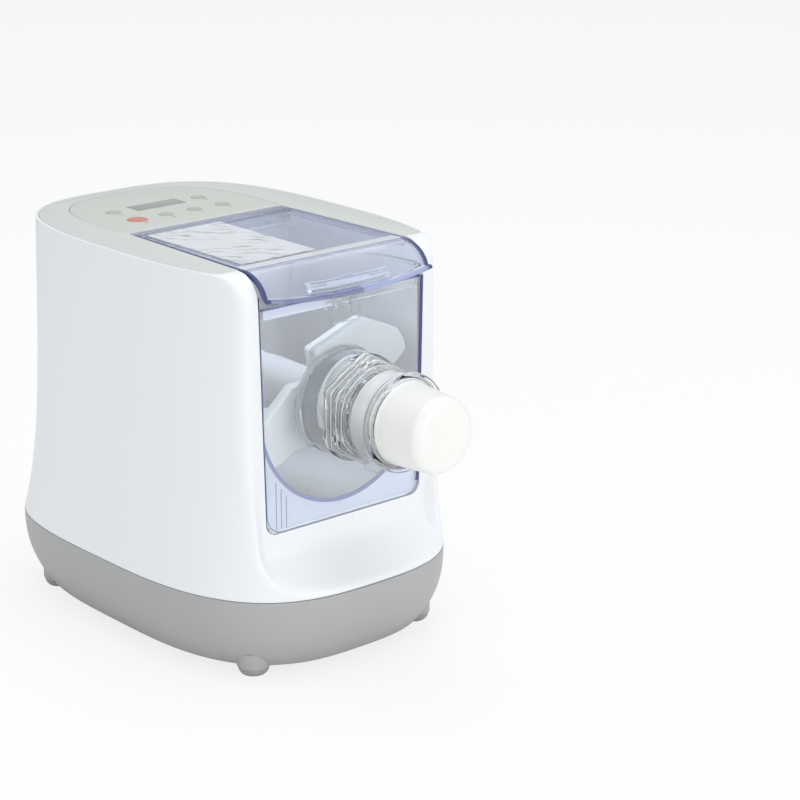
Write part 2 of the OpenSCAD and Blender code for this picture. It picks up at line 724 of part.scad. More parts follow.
module die_cap() color("ivory") framed() difference() {
    turned(concat(
        [[0, cap_back_y], [cap_flange_r, cap_back_y], [cap_flange_r, smooth_front_y + 0.1],
         [cap_r, smooth_front_y + 0.1], [cap_r, nut_front_y]],
        [for (t = [0:10:90]) [cap_front_r - cap_round * (1 - cos(t)),
            cap_front_y + cap_round * (1 - sin(t))]],
        [[0, cap_front_y]]));
    turned([[0, cap_back_y + 1], [tube_bore_r - 2, cap_back_y + 1], [tube_bore_r - 2, nut_front_y],
        [cap_front_r - cap_wall, cap_front_y + cap_wall + 6],
        [cap_front_r - cap_wall - 6, cap_front_y + cap_wall], [0, cap_front_y + cap_wall]]);
    for (i = [0:3], j = [-2:2])
        translate([j * 6.4, cap_front_y + 12 + i * 5.4, axis_h - 40]) cylinder(d = outlet_d, h = 30);
}

// ---- Paddle, auger and shaft ----

arm_y = panel_back_y + collar_inside + 1.6;
blade_front_y = panel_back_y + 3.6;
hub_back_y = bowl_back - seal_w - 3;
square_w = 8;
auger_back_y = arm_y + 6;
drum_r = collar_r - collar_wall - 1.6;

// Outlines seen from the front: x to the right and z up, from the drive axis
blade_a = [[-22, 40], [-6, 45.5], [20, 55], [24, 56], [55, 43], [61.5, 35], [64, 29], [57, 19], [38, 8],
    [10, -6], [-14, 4]];
blade_b = [[10, -8], [-12, -34], [-28, -36], [-43, -43.5], [-49, -45], [-56, -36], [-60, -22], [-57, -12],
    [-30, 12], [0, 14]];

module blade(points) translate([0, axis_h]) intersection() {
    polygon(points);
    circle(blade_reach);
}

module mixing_paddle() color("white") framed() difference() {
    union() {
        bar_y(hub_r, arm_y, hub_back_y);
        along_y(arm_y, arm_y + blade_t) blade(blade_a);
        along_y(blade_front_y, arm_y + 1) difference() {
            blade(blade_a);
            translate([0, axis_h]) circle(collar_r + 1.6);
        }
        along_y(arm_y + 10, arm_y + 10 + blade_t) blade(blade_b);
        for (a = [112, 292]) translate([0, hub_back_y - 6, axis_h]) rotate([90, 0, 0]) rotate(a)
            translate([0, -7, 0]) linear_extrude(blade_t) union() {
                square([blade_reach - 16, 14]);
                translate([blade_reach - 24, -6]) square([20, 26]);
            }
    }
    translate([-square_w / 2 - 0.1, hub_back_y - 26, axis_h - square_w / 2 - 0.1])
        cube([square_w + 0.2, 40, square_w + 0.2]);
    bar_y(square_w / 2, arm_y - 5, auger_back_y);
}

// One turn of the flight is drawn as a wedge that twists around the core
module flight(r, length, turns)
    linear_extrude(length, twist = 360 * turns, slices = round(26 * turns), $fn = 24)
    polygon(concat([[0, 0]], [for (a = [-15:15:15]) [r * cos(a), r * sin(a)]]));

module auger_screw() color("silver") framed() translate([0, 0, axis_h]) {
    drum_l = arm_y - touch - collar_front_y - collar_wall - 1;
    translate([0, arm_y - touch, 0]) rotate([90, 0, 0]) {
        cylinder(r = 17, h = drum_l);
        difference() {
            cylinder(r = drum_r, h = 2.5);
            cylinder(r = 10, h = 1, center = true);
        }
        flight(drum_r, drum_l, 1.2);
    }
    translate([0, collar_front_y + collar_wall + 2, 0]) rotate([90, 0, 0]) {
        screw_l = collar_front_y + collar_wall - tube_end_y - 1;
        cylinder(r1 = 17, r2 = 12, h = screw_l);
        flight(tube_bore_r - auger_gap, screw_l, 1.1);
    }
    translate([0, auger_back_y - touch, 0]) rotate([90, 0, 0])
        cylinder(r = square_w / 2 - touch, h = auger_back_y - arm_y + 1);
}

box_front_y = liner_rear_y + liner_wall + 1.2;
output_y = box_front_y + 11;
idler_y = output_y + output_w + 2.5;
box_back_y = idler_y + idler_w + 3;
cover_t = 6;
bearing_r = 14;
bearing_w = 7;

module drive_shaft() color("silver") framed() {
    bar_y(shaft_r, hub_back_y + touch, box_back_y + cover_t - 1);
    translate([-square_w / 2, hub_back_y - 20, axis_h - square_w / 2])
        cube([square_w, 21, square_w]);
}

// ---- Gearbox ----

gear_slack = 0.12;
idler_z = axis_h - gear_m * (output_teeth + idler_small_teeth) / 2 - gear_slack;
motor_z = idler_z - gear_m * (idler_large_teeth + pinion_teeth) / 2 - gear_slack;
axle_r = 4;
motor_shaft_r = 3;
pressure = 20;
box_wall = 3;

// An involute gear, with its first tooth on +X unless it is turned by half a tooth
function inv_angle(t) = t - atan(t * PI / 180);
module gear2d(teeth, turn = 0) {
    r = gear_m * teeth / 2;
    base = r * cos(pressure);
    tip = r + gear_m * 0.95;
    root = r - gear_m * 1.25;
    t0 = sqrt(max(0, pow(max(root, base) / base, 2) - 1)) * 180 / PI;
    t1 = sqrt(pow(tip / base, 2) - 1) * 180 / PI;
    half = 90 / teeth - 1.6 / teeth + inv_angle(tan(pressure) * 180 / PI);
    flank = [for (i = [0:4]) let (t = mix(t0, t1, i / 4))
        [base * sqrt(1 + pow(t * PI / 180, 2)), half - inv_angle(t)]];
    polygon([for (k = [0:teeth - 1])
        let (c = turn + 360 * k / teeth)
        each concat(
            [[root * cos(c - half), root * sin(c - half)]],
            [for (p = flank) [p[0] * cos(c - p[1]), p[0] * sin(c - p[1])]],
            [for (i = [4:-1:0]) [flank[i][0] * cos(c + flank[i][1]), flank[i][0] * sin(c + flank[i][1])]],
            [[root * cos(c + half), root * sin(c + half)]]
        )]);
}

module gear(teeth, y0, width, z, bore, turn = 0) translate([0, y0 + width, z]) rotate([90, 0, 0])
    linear_extrude(width) difference() {
        gear2d(teeth, turn);
        circle(bore);
    }

module output_gear() color("ivory") framed() difference() {
    union() {
        gear(output_teeth, output_y, output_w, axis_h, shaft_r + touch, 90);
        difference() {
            bar_y(14, output_y - 2, output_y + output_w + 2);
            bar_y(shaft_r + touch, output_y - 5, output_y + output_w + 5);
        }
    }
    for (s = [0:5]) translate([0, 0, axis_h]) rotate([0, s * 60 + 30, 0]) translate([28, 0, 0])
        rotate([90, 0, 0]) cylinder(r = 9, h = 200, center = true);
}

module idler_gear() color("silver") framed() {
    gear(idler_small_teeth, output_y, output_w + 2.6, idler_z, axle_r + run_gap,
        90 + 180 / idler_small_teeth);
    gear(idler_large_teeth, idler_y, idler_w, idler_z, axle_r + run_gap, 90);
}

module idler_axle() color("silver") framed()
    bar_y(axle_r, box_front_y + 4, box_back_y + cover_t - 2, idler_z);

module motor_pinion() color("goldenrod") framed()
    gear(pinion_teeth, idler_y - 0.5, idler_w + 1, motor_z, motor_shaft_r + touch, 90 + 180 / pinion_teeth);

module box_outline(grow = 0) {
    translate([0, axis_h]) circle(gear_m * output_teeth / 2 + 4 + grow);
    translate([-gear_m * output_teeth / 2 - 4 - grow, motor_z - 14 - grow])
        square([gear_m * output_teeth + 8 + 2 * grow, axis_h - motor_z + 14 + grow]);
}

leg_x = 38;
leg_w = 12;

module box_screw_places() for (s = [-1, 1], z = [motor_z - 6, axis_h - 40])
    translate([s * (gear_m * output_teeth / 2 + 1), 0, z]) children();

module gearbox_housing() color("gray") framed() difference() {
    union() {
        along_y(box_front_y, box_back_y - touch) box_outline(box_wall);
        for (s = [-1, 1]) translate([s * leg_x - leg_w / 2, box_front_y, chassis_top + touch])
            cube([leg_w, 20, motor_z - chassis_top - 14]);
    }
    difference() {
        along_y(box_front_y + box_wall, box_back_y + 1) box_outline();
        bar_y(bearing_r + 3, box_front_y, box_front_y + bearing_w);
        bar_y(axle_r + 3, box_front_y, output_y - 1, idler_z);
        box_screw_places() rotate([90, 0, 0]) cylinder(r = 3.4, h = 200, center = true);
    }
    bar_y(bearing_r, box_front_y - 1, box_front_y + bearing_w + 1);
    bar_y(axle_r + touch, box_front_y + 4 - touch, box_back_y, idler_z);
    box_screw_places() translate([0, box_back_y + 1, 0]) rotate([90, 0, 0]) cylinder(r = 1.5, h = 18);
}

module gearbox_cover() color("darkgray") framed() difference() {
    along_y(box_back_y, box_back_y + cover_t) box_outline(box_wall);
    bar_y(bearing_r, box_back_y - 1, box_back_y + cover_t - 1 + touch);
    bar_y(axle_r + touch, box_back_y - 1, box_back_y + cover_t - 2 + touch, idler_z);
    bar_y(motor_shaft_r + 0.8, box_back_y - 1, box_back_y + cover_t + 1, motor_z);
    box_screw_places() translate([0, box_back_y + cover_t + 1, 0]) rotate([90, 0, 0]) cylinder(r = 2, h = 20);
}

module gearbox_screws() color("silver") framed() box_screw_places()
    translate([0, box_back_y + cover_t + 2.6, 0]) rotate([90, 0, 0]) {
        cylinder(r = 3.4, h = 2.5);
        cylinder(r = 1.5 - touch, h = 16);
    }

module ring_y(outer, inner, y0, y1, z = axis_h) difference() {
    bar_y(outer, y0, y1, z);
    bar_y(inner, y0 - 1, y1 + 1, z);
}

module output_bearings() color("silver") framed() {
    ring_y(bearing_r - run_gap, shaft_r + run_gap, box_front_y, box_front_y + bearing_w);
    ring_y(bearing_r - run_gap, shaft_r + run_gap, box_back_y - 1.5, box_back_y + cover_t - 1.5);
}

// ---- Motor ----

motor_y = box_back_y + cover_t + touch;
motor_end_y = motor_y + motor_l;
bell_t = 4;
can_t = 2.5;
magnet_t = 5;
rotor_r = motor_r - can_t - magnet_t - 1;
fan_y = motor_end_y + 2;
fan_w = 8;
fan_r = 23;

module motor_can() color("silver") framed() {
    difference() {
        bar_y(motor_r, motor_y, motor_end_y, motor_z);
        bar_y(motor_r - can_t, motor_y + bell_t, motor_end_y - bell_t, motor_z);
        bar_y(motor_shaft_r + run_gap, motor_y - 1, motor_end_y + 1, motor_z);
        for (a = [45:90:315]) translate([0, 0, motor_z]) rotate([0, a, 0])
            translate([20, motor_end_y - bell_t - 1, -4]) cube([6, bell_t + 2, 8]);
    }
    for (s = [-1, 1]) intersection() {
        ring_y(motor_r - can_t, rotor_r + 1, motor_y + 10, motor_end_y - 12, motor_z);
        translate([s * 25 - 12, motor_y, motor_z - 14]) cube([24, motor_l, 28]);
    }
}

module motor_rotor() color("peru") framed() difference() {
    union() {
        bar_y(motor_shaft_r, idler_y - 1.5, fan_y + fan_w, motor_z);
        bar_y(rotor_r, motor_y + 12, motor_end_y - 20, motor_z);
        bar_y(9, motor_end_y - 18, motor_end_y - 8, motor_z);
        bar_y(12, motor_y + 9, motor_end_y - 17, motor_z);
    }
    for (a = [0:30:330]) translate([0, 0, motor_z]) rotate([0, a, 0])
        translate([rotor_r - 4, motor_y + 10, -1]) cube([6, motor_end_y - 20 - motor_y - 8, 2]);
}

module cooling_fan() color("black") framed() {
    ring_y(9, motor_shaft_r + touch, fan_y, fan_y + fan_w, motor_z);
    for (a = [0:40:320]) translate([0, fan_y + fan_w / 2, motor_z]) rotate([0, a, 0])
        translate([8, 0, 0]) rotate([35, 0, 0]) translate([0, -0.8, -5]) cube([fan_r - 9, 1.6, 10]);
}

// ---- Chassis, board, inlet and wires ----

chassis_half_w = 84;
chassis_front_y = -126;
chassis_back_y = 140;
post_front_y = -104;
post_rear_y = 8;
post_half_x = 66;
board_low = chassis_top + 6;
board_w = 104;
board_edge = 6;
main_front_y = -92;
main_back_y = -12;
lead_x = 79.5;
lead_r = 1.6;
ribbon_x = 73;
ribbon_w = 10;
ribbon_t = 1;
ribbon_y = 106;
ribbon_end = 34;
ribbon_run = 24;
ribbon_drop = 4.2;
ribbon_plug_x = 20;
ribbon_plug_y = 18;
ribbon_plug_w = 26;
ribbon_plug_l = 8;
lead_plug_x = 38;
lead_plug_y = 20;
lead_plug_w = 18;
lead_plug_l = 10;
lead_plug_h = 14;
column_r = 6;
standoff_r = 3.5;
board_screw_r = 1.3;
board_hole_r = 1.6;
slot_w = 20;
slot_l = 40;
slot_y = 90;
slot_step = 30;
coil_x = 40;
coil_y = 18;
coil_w = 30;
coil_l = 34;
coil_h = 26;
can_x = 2;
can_y = 26;
can_step = 14;
can_r = 5.5;
can_h = 22;
sink_y = 44;
sink_w = 40;
sink_t = 3;
sink_h = 28;

module at_board_screws()
    for (s = [-1, 1], y = [main_front_y + board_edge, main_back_y - board_edge])
        translate([s * (board_w / 2 - board_edge), y, 0]) children();

module chassis() color("lightslategray") framed() difference() {
    union() {
        translate([-chassis_half_w, chassis_front_y, chassis_h])
            cube([2 * chassis_half_w, chassis_back_y - chassis_front_y, chassis_t]);
        for (x = [-post_half_x, post_half_x], y = [post_front_y, post_rear_y])
            translate([x, y, chassis_h + 1])
                cylinder(r = column_r, h = liner_floor - liner_wall - touch - chassis_h - 1);
        at_board_screws() translate([0, 0, chassis_h + 1])
            cylinder(r = standoff_r, h = board_low - chassis_h - 1);
    }
    at_bosses() translate([0, 0, chassis_h - 1]) cylinder(r = boss_hole_r, h = 10);
    at_board_screws() translate([0, 0, chassis_h - 1])
        cylinder(r = board_screw_r, h = board_low - chassis_h + 2);
    for (i = [-1:1]) translate([i * slot_step - slot_w / 2, slot_y, chassis_h - 1])
        cube([slot_w, slot_l, chassis_t + 2]);
}

module main_board() color("darkgreen") framed() {
    difference() {
        translate([-board_w / 2, main_front_y, board_low + touch])
            cube([board_w, main_back_y - main_front_y, board_t]);
        at_board_screws() translate([0, 0, board_low - 1]) cylinder(r = board_hole_r, h = board_t + 2);
    }
    translate([-coil_x, main_front_y + coil_y, board_low + 1]) cube([coil_w, coil_l, coil_h]);
    for (i = [0:2]) translate([can_x + can_step * i, main_front_y + can_y, board_low + 1])
        cylinder(r = can_r, h = can_h);
    translate([0, main_front_y + sink_y, board_low + 1]) cube([sink_w, sink_t, sink_h]);
    translate([-lead_plug_x, main_back_y - lead_plug_y, board_low + 1])
        cube([lead_plug_w, lead_plug_l, lead_plug_h]);
    translate([ribbon_plug_x, main_back_y - ribbon_plug_y, board_low + 1])
        cube([ribbon_plug_w, ribbon_plug_l, ribbon_plug_l]);
}

module board_screws() color("silver") framed() {
    at_board_screws() {
        translate([0, 0, board_low + board_t + 2 * touch]) cylinder(r = 2.8, h = 2);
        translate([0, 0, board_low - 6]) cylinder(r = board_screw_r - touch, h = 9);
    }
    at_posts() {
        translate([0, 0, board_top - board_t - 2 - touch]) cylinder(r = 2.6, h = 2);
        translate([0, 0, board_top - board_t - 1]) cylinder(r = post_screw_r - touch, h = 7);
    }
}

module power_inlet() color("black") framed() translate([0, rear_reach - 0.6, inlet_z]) {
    difference() {
        union() {
            translate([-inlet_w / 2, -3, -inlet_h / 2]) cube([inlet_w, 3, inlet_h]);
            translate([-inlet_w / 2 + 2, -20, -inlet_h / 2 + 1]) cube([inlet_w - 4, 18, inlet_h - 2]);
        }
        translate([-11, -16, -7.2]) cube([22, 20, 14.4]);
    }
    for (x = [-6, 0, 6]) translate([x - 1, -17, x == 0 ? 1.2 : -2.6]) cube([2, 10.5, 4]);
}

// A flat ribbon from the main board along the chassis, up behind the liner and
// across to the control board
module panel_cable() color("lightgray") framed() {
    x0 = ribbon_x;
    z0 = chassis_top + touch;
    z1 = board_top - board_t - ribbon_drop;
    y0 = main_back_y - ribbon_run;
    translate([ribbon_end, y0, z0]) cube([x0 + ribbon_w - ribbon_end, ribbon_w, ribbon_t]);
    translate([ribbon_end, y0, z0]) cube([ribbon_t, ribbon_w, board_low - z0]);
    translate([x0, y0, z0]) cube([ribbon_w, ribbon_y - y0, ribbon_t]);
    translate([x0, ribbon_y - ribbon_t, z0]) cube([ribbon_w, ribbon_t, z1 - z0 + 2]);
    translate([ribbon_end, ribbon_y - ribbon_t, z1]) cube([x0 + ribbon_w - ribbon_end, ribbon_t, 2]);
}

// Two leads from the main board along the chassis to the motor
module motor_leads() color("firebrick") framed() for (s = [0, 1]) {
    x = -lead_x + 5 * s;
    y0 = main_back_y - 14 - 6 * s;
    y1 = motor_y + 20 + 6 * s;
    z = chassis_top + lead_r + touch;
    x0 = -34;
    x1 = -motor_r * 0.5;
    for (p = [[x0, y0], [x, y0], [x, y1], [x1, y1]]) translate([p[0], p[1], z]) sphere(lead_r);
    translate([x0, y0, z]) cylinder(r = lead_r, h = board_low - z);
    translate([x, y0, z]) rotate([0, 90, 0]) cylinder(r = lead_r, h = x0 - x);
    bar_y(lead_r, y0, y1, z, x);
    translate([x, y1, z]) rotate([0, 90, 0]) cylinder(r = lead_r, h = x1 - x);
    translate([x1, y1, z]) cylinder(r = lead_r,
        h = motor_z - sqrt(pow(motor_r, 2) - pow(abs(x1) - lead_r, 2)) - z - touch);
}

base_shell();
foot(-1, -1);  // foot_front_left
foot(1, -1);  // foot_front_right
foot(-1, 1);  // foot_rear_left
foot(1, 1);  // foot_rear_right
base_screws();
body_shell();
top_deck();
control_panel();
display_window();
display_module();
control_board();
key(0);  // start_button
key(1);  // menu_button
key(2);  // minus_button
key(3);  // plus_button
key(4);  // power_button
key(5);  // timer_button
chamber_liner();
mixing_bowl();
shaft_seal();
hinge_brackets();
hinge_pins();
lid();
lid_label();
lid_magnet();
lid_sensor();
front_panel();
die_washer();
die_nut();
die_cap();
mixing_paddle();
auger_screw();
drive_shaft();
gearbox_housing();
gearbox_cover();
output_bearings();
output_gear();
idler_gear();
idler_axle();
motor_pinion();
motor_can();
motor_rotor();
cooling_fan();
gearbox_screws();
chassis();
main_board();
board_screws();
power_inlet();
panel_cable();
motor_leads();
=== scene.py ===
"""Electric pasta maker: smooth shells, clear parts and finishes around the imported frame.

Sizes are in millimetres in the maker's own stations: x across, y back from the body's widest
station and z up from the table. put() carries them into the frame, in metres.
"""
import math

import bmesh
import bpy
import numpy as np
from mathutils import Matrix, Vector


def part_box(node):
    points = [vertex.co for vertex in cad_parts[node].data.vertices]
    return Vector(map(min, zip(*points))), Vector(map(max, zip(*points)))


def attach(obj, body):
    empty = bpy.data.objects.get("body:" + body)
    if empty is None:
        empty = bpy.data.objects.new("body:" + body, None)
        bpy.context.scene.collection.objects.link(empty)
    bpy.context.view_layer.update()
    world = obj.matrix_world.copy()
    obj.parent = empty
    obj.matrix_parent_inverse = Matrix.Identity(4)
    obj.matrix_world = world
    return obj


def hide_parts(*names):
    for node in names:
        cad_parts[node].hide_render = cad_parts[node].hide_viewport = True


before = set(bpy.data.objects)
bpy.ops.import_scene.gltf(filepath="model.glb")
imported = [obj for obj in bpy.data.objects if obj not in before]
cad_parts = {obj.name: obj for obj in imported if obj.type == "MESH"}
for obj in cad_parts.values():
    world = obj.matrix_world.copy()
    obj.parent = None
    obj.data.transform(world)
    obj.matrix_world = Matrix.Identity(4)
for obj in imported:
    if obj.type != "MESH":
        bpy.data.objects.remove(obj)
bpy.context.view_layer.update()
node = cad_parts

MM = 0.001

# ---- Driving sizes, the same as the construction's ----

DECK_H = 295.0
DECK_W = 215.0
SEAM_W = 242.0
SOLE_SIDE = 15.5
SEAM_H = 62.0
FACE_REACH = 130.0
DECK_BACK = 160.0
BACK_FLARE = 11.0
SEAM_FRONT = 165.0
SOLE_INSET = 19.0
FRONT_BULGE = 188.0
SHELL_WALL = 3.0
SHOULDER_R = 20.0
FLARE_H = 85.0
LEDGE_H = 95.0
RIM_W = 2.0
DECK_T = 3.0
FOOT_H = 6.5
FOOT_R = 10.0
SEAM_GAP = 0.4
FIT_GAP = 0.25
MOVE_GAP = 0.6
TOUCH = 0.02
AXIS_H = 190.5

REAR_REACH = DECK_BACK + BACK_FLARE
FRAME_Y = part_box("base_shell")[1].y / MM - REAR_REACH
DECK_UNDER = DECK_H - DECK_T
LID_FRONT_Y = -(FACE_REACH - SHOULDER_R)

# ---- Camera: its place in metres, and the unit vectors of its view ----

EYE = Vector((-1.04109, -1.34482, 0.70566))
RIGHT = Vector((0.752159, -0.658981, 0.0))
UP = Vector((0.198794, 0.226903, 0.953413))
AHEAD = Vector((0.628281, 0.717118, -0.301668))
LENS = 108.0
SENSOR_W = 36.0


def place_camera():
    """A long lens at the front left, a little above the machine."""
    data = bpy.data.cameras.new("camera")
    data.lens = LENS
    data.sensor_width = SENSOR_W
    camera = bpy.data.objects.new("camera", data)
    bpy.context.scene.collection.objects.link(camera)
    turn = Matrix((RIGHT, UP, -AHEAD)).transposed()
    camera.matrix_world = Matrix.Translation(EYE) @ turn.to_4x4()
    bpy.context.scene.camera = camera


place_camera()

# ---- Curves and outlines ----

LONGEST_ARC = 0.49
LONGEST_MITRE = 1.6
EDGE_STEPS = 4


def clamp01(t):
    """A number held between 0 and 1."""
    return np.clip(t, 0.0, 1.0)


def mix(a, b, t):
    """The number a share t of the way from a to b: a + (b - a) t."""
    return a + (b - a) * t


def smooth_step(t):
    """Three t squared less two t cubed, which leaves 0 and reaches 1 with no slope."""
    c = clamp01(t)
    return c * c * (3 - 2 * c)


def full_turn(count):
    """Angles round a full turn in equal steps."""
    return np.linspace(0, 2 * np.pi, count, endpoint=False)


def polar(r, angles):
    """Flat points at radius r: r cos angle, r sin angle."""
    return np.stack([r * np.cos(angles), r * np.sin(angles)], 1)


def round_axis(r, angle, y):
    """Points round the drive axis: x = r cos angle, station y, height = the axis's + r sin angle."""
    return np.stack(np.broadcast_arrays(r * np.cos(angle), y, AXIS_H + r * np.sin(angle)), -1)


def laid(outline, z):
    """A flat outline of (x, y) laid level at height z."""
    p = np.asarray(outline, float)
    return np.stack([p[:, 0], p[:, 1], np.full(len(p), z)], 1)


def stood(outline, y):
    """A flat outline of (x, height) stood across the machine at station y."""
    p = np.asarray(outline, float)
    return np.stack([p[:, 0], np.full(len(p), y), p[:, 1]], 1)


def box_outline(x0, y0, x1, y1):
    """The corners of a rectangle, anticlockwise from its lower left."""
    return [(x0, y0), (x1, y0), (x1, y1), (x0, y1)]


def post(r, low, high):
    """A cylinder's profile of (radius, place on its axis): out at low, along, and in at high."""
    return [(0, low), (r, low), (r, high), (0, high)]


def rounded(points, radii, steps=6, closed=True):
    """A polyline with its corners turned into arcs.

    At each corner the arc touches both sides at radius / tan(half the corner's angle) from it.
    radii is one radius for all corners, or one for each.
    """
    pts = np.asarray(points, float)
    n = len(pts)
    radii = np.broadcast_to(np.asarray(radii, float), (n,))
    out = []
    for i, (p, r) in enumerate(zip(pts, radii)):
        if r <= 0 or (not closed and i in (0, n - 1)):
            out.append(p[None])
            continue
        a, b = pts[i - 1] - p, pts[(i + 1) % n] - p
        la, lb = np.linalg.norm(a), np.linalg.norm(b)
        a, b = a / la, b / lb
        half = math.acos(float(np.clip(a @ b, -1, 1))) / 2
        reach = min(r / math.tan(half), LONGEST_ARC * la, LONGEST_ARC * lb)
        r = reach * math.tan(half)
        middle = p + (a + b) / np.linalg.norm(a + b) * (r / math.sin(half))
        u, v = p + a * reach - middle, p + b * reach - middle
        sweep = math.pi - 2 * half
        t = np.linspace(0, 1, steps + 1)[:, None]
        arc = (np.sin((1 - t) * sweep) * u + np.sin(t * sweep) * v) / math.sin(sweep)
        out.append(middle + arc)
    return np.concatenate(out)


def inset(outline, distance):
    """A closed outline moved inwards: each point slides along the mean of its two sides' normals.

    A corner slides further, by 2 over the length of the two unit normals' sum.
    """
    p = np.asarray(outline, float)
    ahead = np.roll(p, -1, 0) - p
    ahead /= np.linalg.norm(ahead, axis=1)[:, None]
    back = np.roll(ahead, 1, 0)
    area = np.sum(p[:, 0] * np.roll(p[:, 1], -1) - p[:, 1] * np.roll(p[:, 0], -1))
    turn = 1.0 if area > 0 else -1.0
    normal = np.stack([-(ahead + back)[:, 1], (ahead + back)[:, 0]], 1) * turn
    length = np.linalg.norm(normal, axis=1)[:, None]
    normal /= length
    stretch = np.clip(2 / length, 1.0, LONGEST_MITRE)
    return p + normal * stretch * distance


def edge_round(low, high, radius):
    """(height, inset) pairs up a slab whose two edges are quarter rounds.

    At angle t from the slab's side, a point is radius (1 - sin t) from the flat and radius
    (1 - cos t) in from the side.
    """
    t = np.linspace(0, np.pi / 2, EDGE_STEPS + 1)
    up = np.stack([low + radius * (1 - np.sin(t[::-1])), radius * (1 - np.cos(t[::-1]))], 1)
    over = np.stack([high - radius * (1 - np.sin(t)), radius * (1 - np.cos(t))], 1)
    return np.concatenate([up, over])


# ---- The body's shape, as in the construction ----

FLARE_POWER = 4.5
TUCK_POWER = 2.6
LEDGE_POWER = 1.9
LEDGE_REACH = 12.0
POCKET_D = 14.0
POCKET_RISE = 115.0
POCKET_POWER = 1.5
POCKET_LOW_W = 73.0
POCKET_TOP_W = 85.0
POCKET_EDGE = 14.0
FRONT_POWER = 2.5
SEAM_FRONT_POWER = 2.9
BACK_POWER = 3.1
SEAM_BACK_POWER = 3.6
SOFT_EDGE = 8.0
RING_POINTS = 420


def drop(z):
    """0 at the deck and 1 at the seam."""
    return clamp01((DECK_H - z) / (DECK_H - SEAM_H))


def flare(z):
    """How far the sides have spread at height z: 0.1 of the drop, plus 0.9 of a power of it."""
    return 0.1 * drop(z) + 0.9 * drop(z) ** FLARE_POWER


def tuck(z):
    """0 at the seam and 1 at the sole: a power of the share of the height between them."""
    return clamp01((SEAM_H - z) / (SEAM_H - FOOT_H)) ** TUCK_POWER


def face_y(z, w):
    """The front face: a quarter round into the deck above, a flare to the seam below.

    The round's station is r - sqrt(r^2 - up^2) behind the face, and the flare is a power of the
    share of the ledge's height.
    """
    up = z - (DECK_H - SHOULDER_R)
    curve = np.sqrt(np.maximum(0, (SHOULDER_R - w) ** 2 - np.maximum(up, 0) ** 2))
    over = -FACE_REACH + SHOULDER_R - curve + np.maximum(0, up - SHOULDER_R + w)
    fall = clamp01((LEDGE_H - z) / (LEDGE_H - SEAM_H)) ** LEDGE_POWER
    under = -mix(FACE_REACH, SEAM_FRONT + LEDGE_REACH, fall) + w
    return np.where(up > 0, over, under)


def pocket(x, z):
    """The shallow pocket that the face stands in, deepest at its lower corners.

    Its depth is a power of the share of height, times a smooth step across its edge.
    """
    low = clamp01((FLARE_H + POCKET_RISE - z) / POCKET_RISE) ** POCKET_POWER
    edge = mix(POCKET_LOW_W, POCKET_TOP_W, clamp01((z - FLARE_H) / (DECK_H - FLARE_H)))
    return POCKET_D * low * smooth_step((np.abs(x) - edge) / POCKET_EDGE)


def soft_max(a, b, w):
    """The larger of two numbers with a rounded change: (a + b + sqrt((a - b)^2 + w^2)) / 2."""
    return (a + b + np.sqrt((a - b) ** 2 + w * w)) / 2


def body_rings(levels):
    """Rings round the body at (height, inset) pairs, one row of points each.

    Each ring is a superellipse, x = a cos^(2/n) and y = b sin^(2/n), whose half width a and reach b
    change with height. Its front is cut by the face through a soft maximum.
    """
    levels = np.asarray(levels, float)
    z, w = levels[:, :1], levels[:, 1:2]
    t = full_turn(RING_POINTS)[None]
    s, c = np.sin(t), np.cos(t)
    f = flare(z)
    half = mix(DECK_W, SEAM_W, f) / 2 - SOLE_SIDE * tuck(z) - w
    front = mix(FRONT_BULGE, SEAM_FRONT, drop(z)) - SOLE_INSET * tuck(z) - w
    back = mix(DECK_BACK, REAR_REACH, f) - SOLE_INSET * tuck(z) - w
    power = np.where(s < 0, mix(FRONT_POWER, SEAM_FRONT_POWER, drop(z)),
                     mix(BACK_POWER, SEAM_BACK_POWER, drop(z)))
    x = half * np.sign(c) * np.abs(c) ** (2 / power)
    y = np.where(s < 0, front, back) * np.sign(s) * np.abs(s) ** (2 / power)
    cut = soft_max(y, face_y(z, w) - pocket(x, z), SOFT_EDGE)
    y = np.where(z < SEAM_H, y, cut)
    return np.stack([x, y, np.broadcast_to(z, x.shape)], 2)


# ---- Meshes ----

SHARP = 35.0
SAME_POINT = 1e-7
BEVEL_TURN = 40.0


def put(points):
    """Millimetres in the maker's stations to metres in the frame."""
    p = np.asarray(points, float).reshape(-1, 3).copy()
    p[:, 1] += FRAME_Y
    return p * MM


def piece(name, points, quads, caps=(), sharp=SHARP):
    """A mesh object from points, an array of four-sided faces and any many-sided caps.

    Points that coincide are merged, which closes seams and poles, and a solid whose volume comes
    out negative is turned right side out.
    """
    quads = np.asarray(quads, int).reshape(-1, 4)
    mesh = bpy.data.meshes.new(name)
    co = put(points)
    loops = np.concatenate([quads.ravel(), *caps]).astype(np.int32)
    sizes = np.array([4] * len(quads) + [len(c) for c in caps])
    starts = np.concatenate([[0], np.cumsum(sizes)[:-1]]).astype(np.int32)
    mesh.vertices.add(len(co))
    mesh.vertices.foreach_set("co", co.ravel())
    mesh.loops.add(len(loops))
    mesh.loops.foreach_set("vertex_index", loops)
    mesh.polygons.add(len(sizes))
    mesh.polygons.foreach_set("loop_start", starts)
    mesh.update(calc_edges=True)
    mesh.validate()
    thing = bpy.data.objects.new(name, mesh)
    bpy.context.scene.collection.objects.link(thing)
    work = bmesh.new()
    work.from_mesh(mesh)
    bmesh.ops.remove_doubles(work, verts=work.verts, dist=SAME_POINT)
    if work.calc_volume(signed=True) < 0:
        bmesh.ops.reverse_faces(work, faces=work.faces)
    work.to_mesh(mesh)
    work.free()
    return soften(thing, sharp)


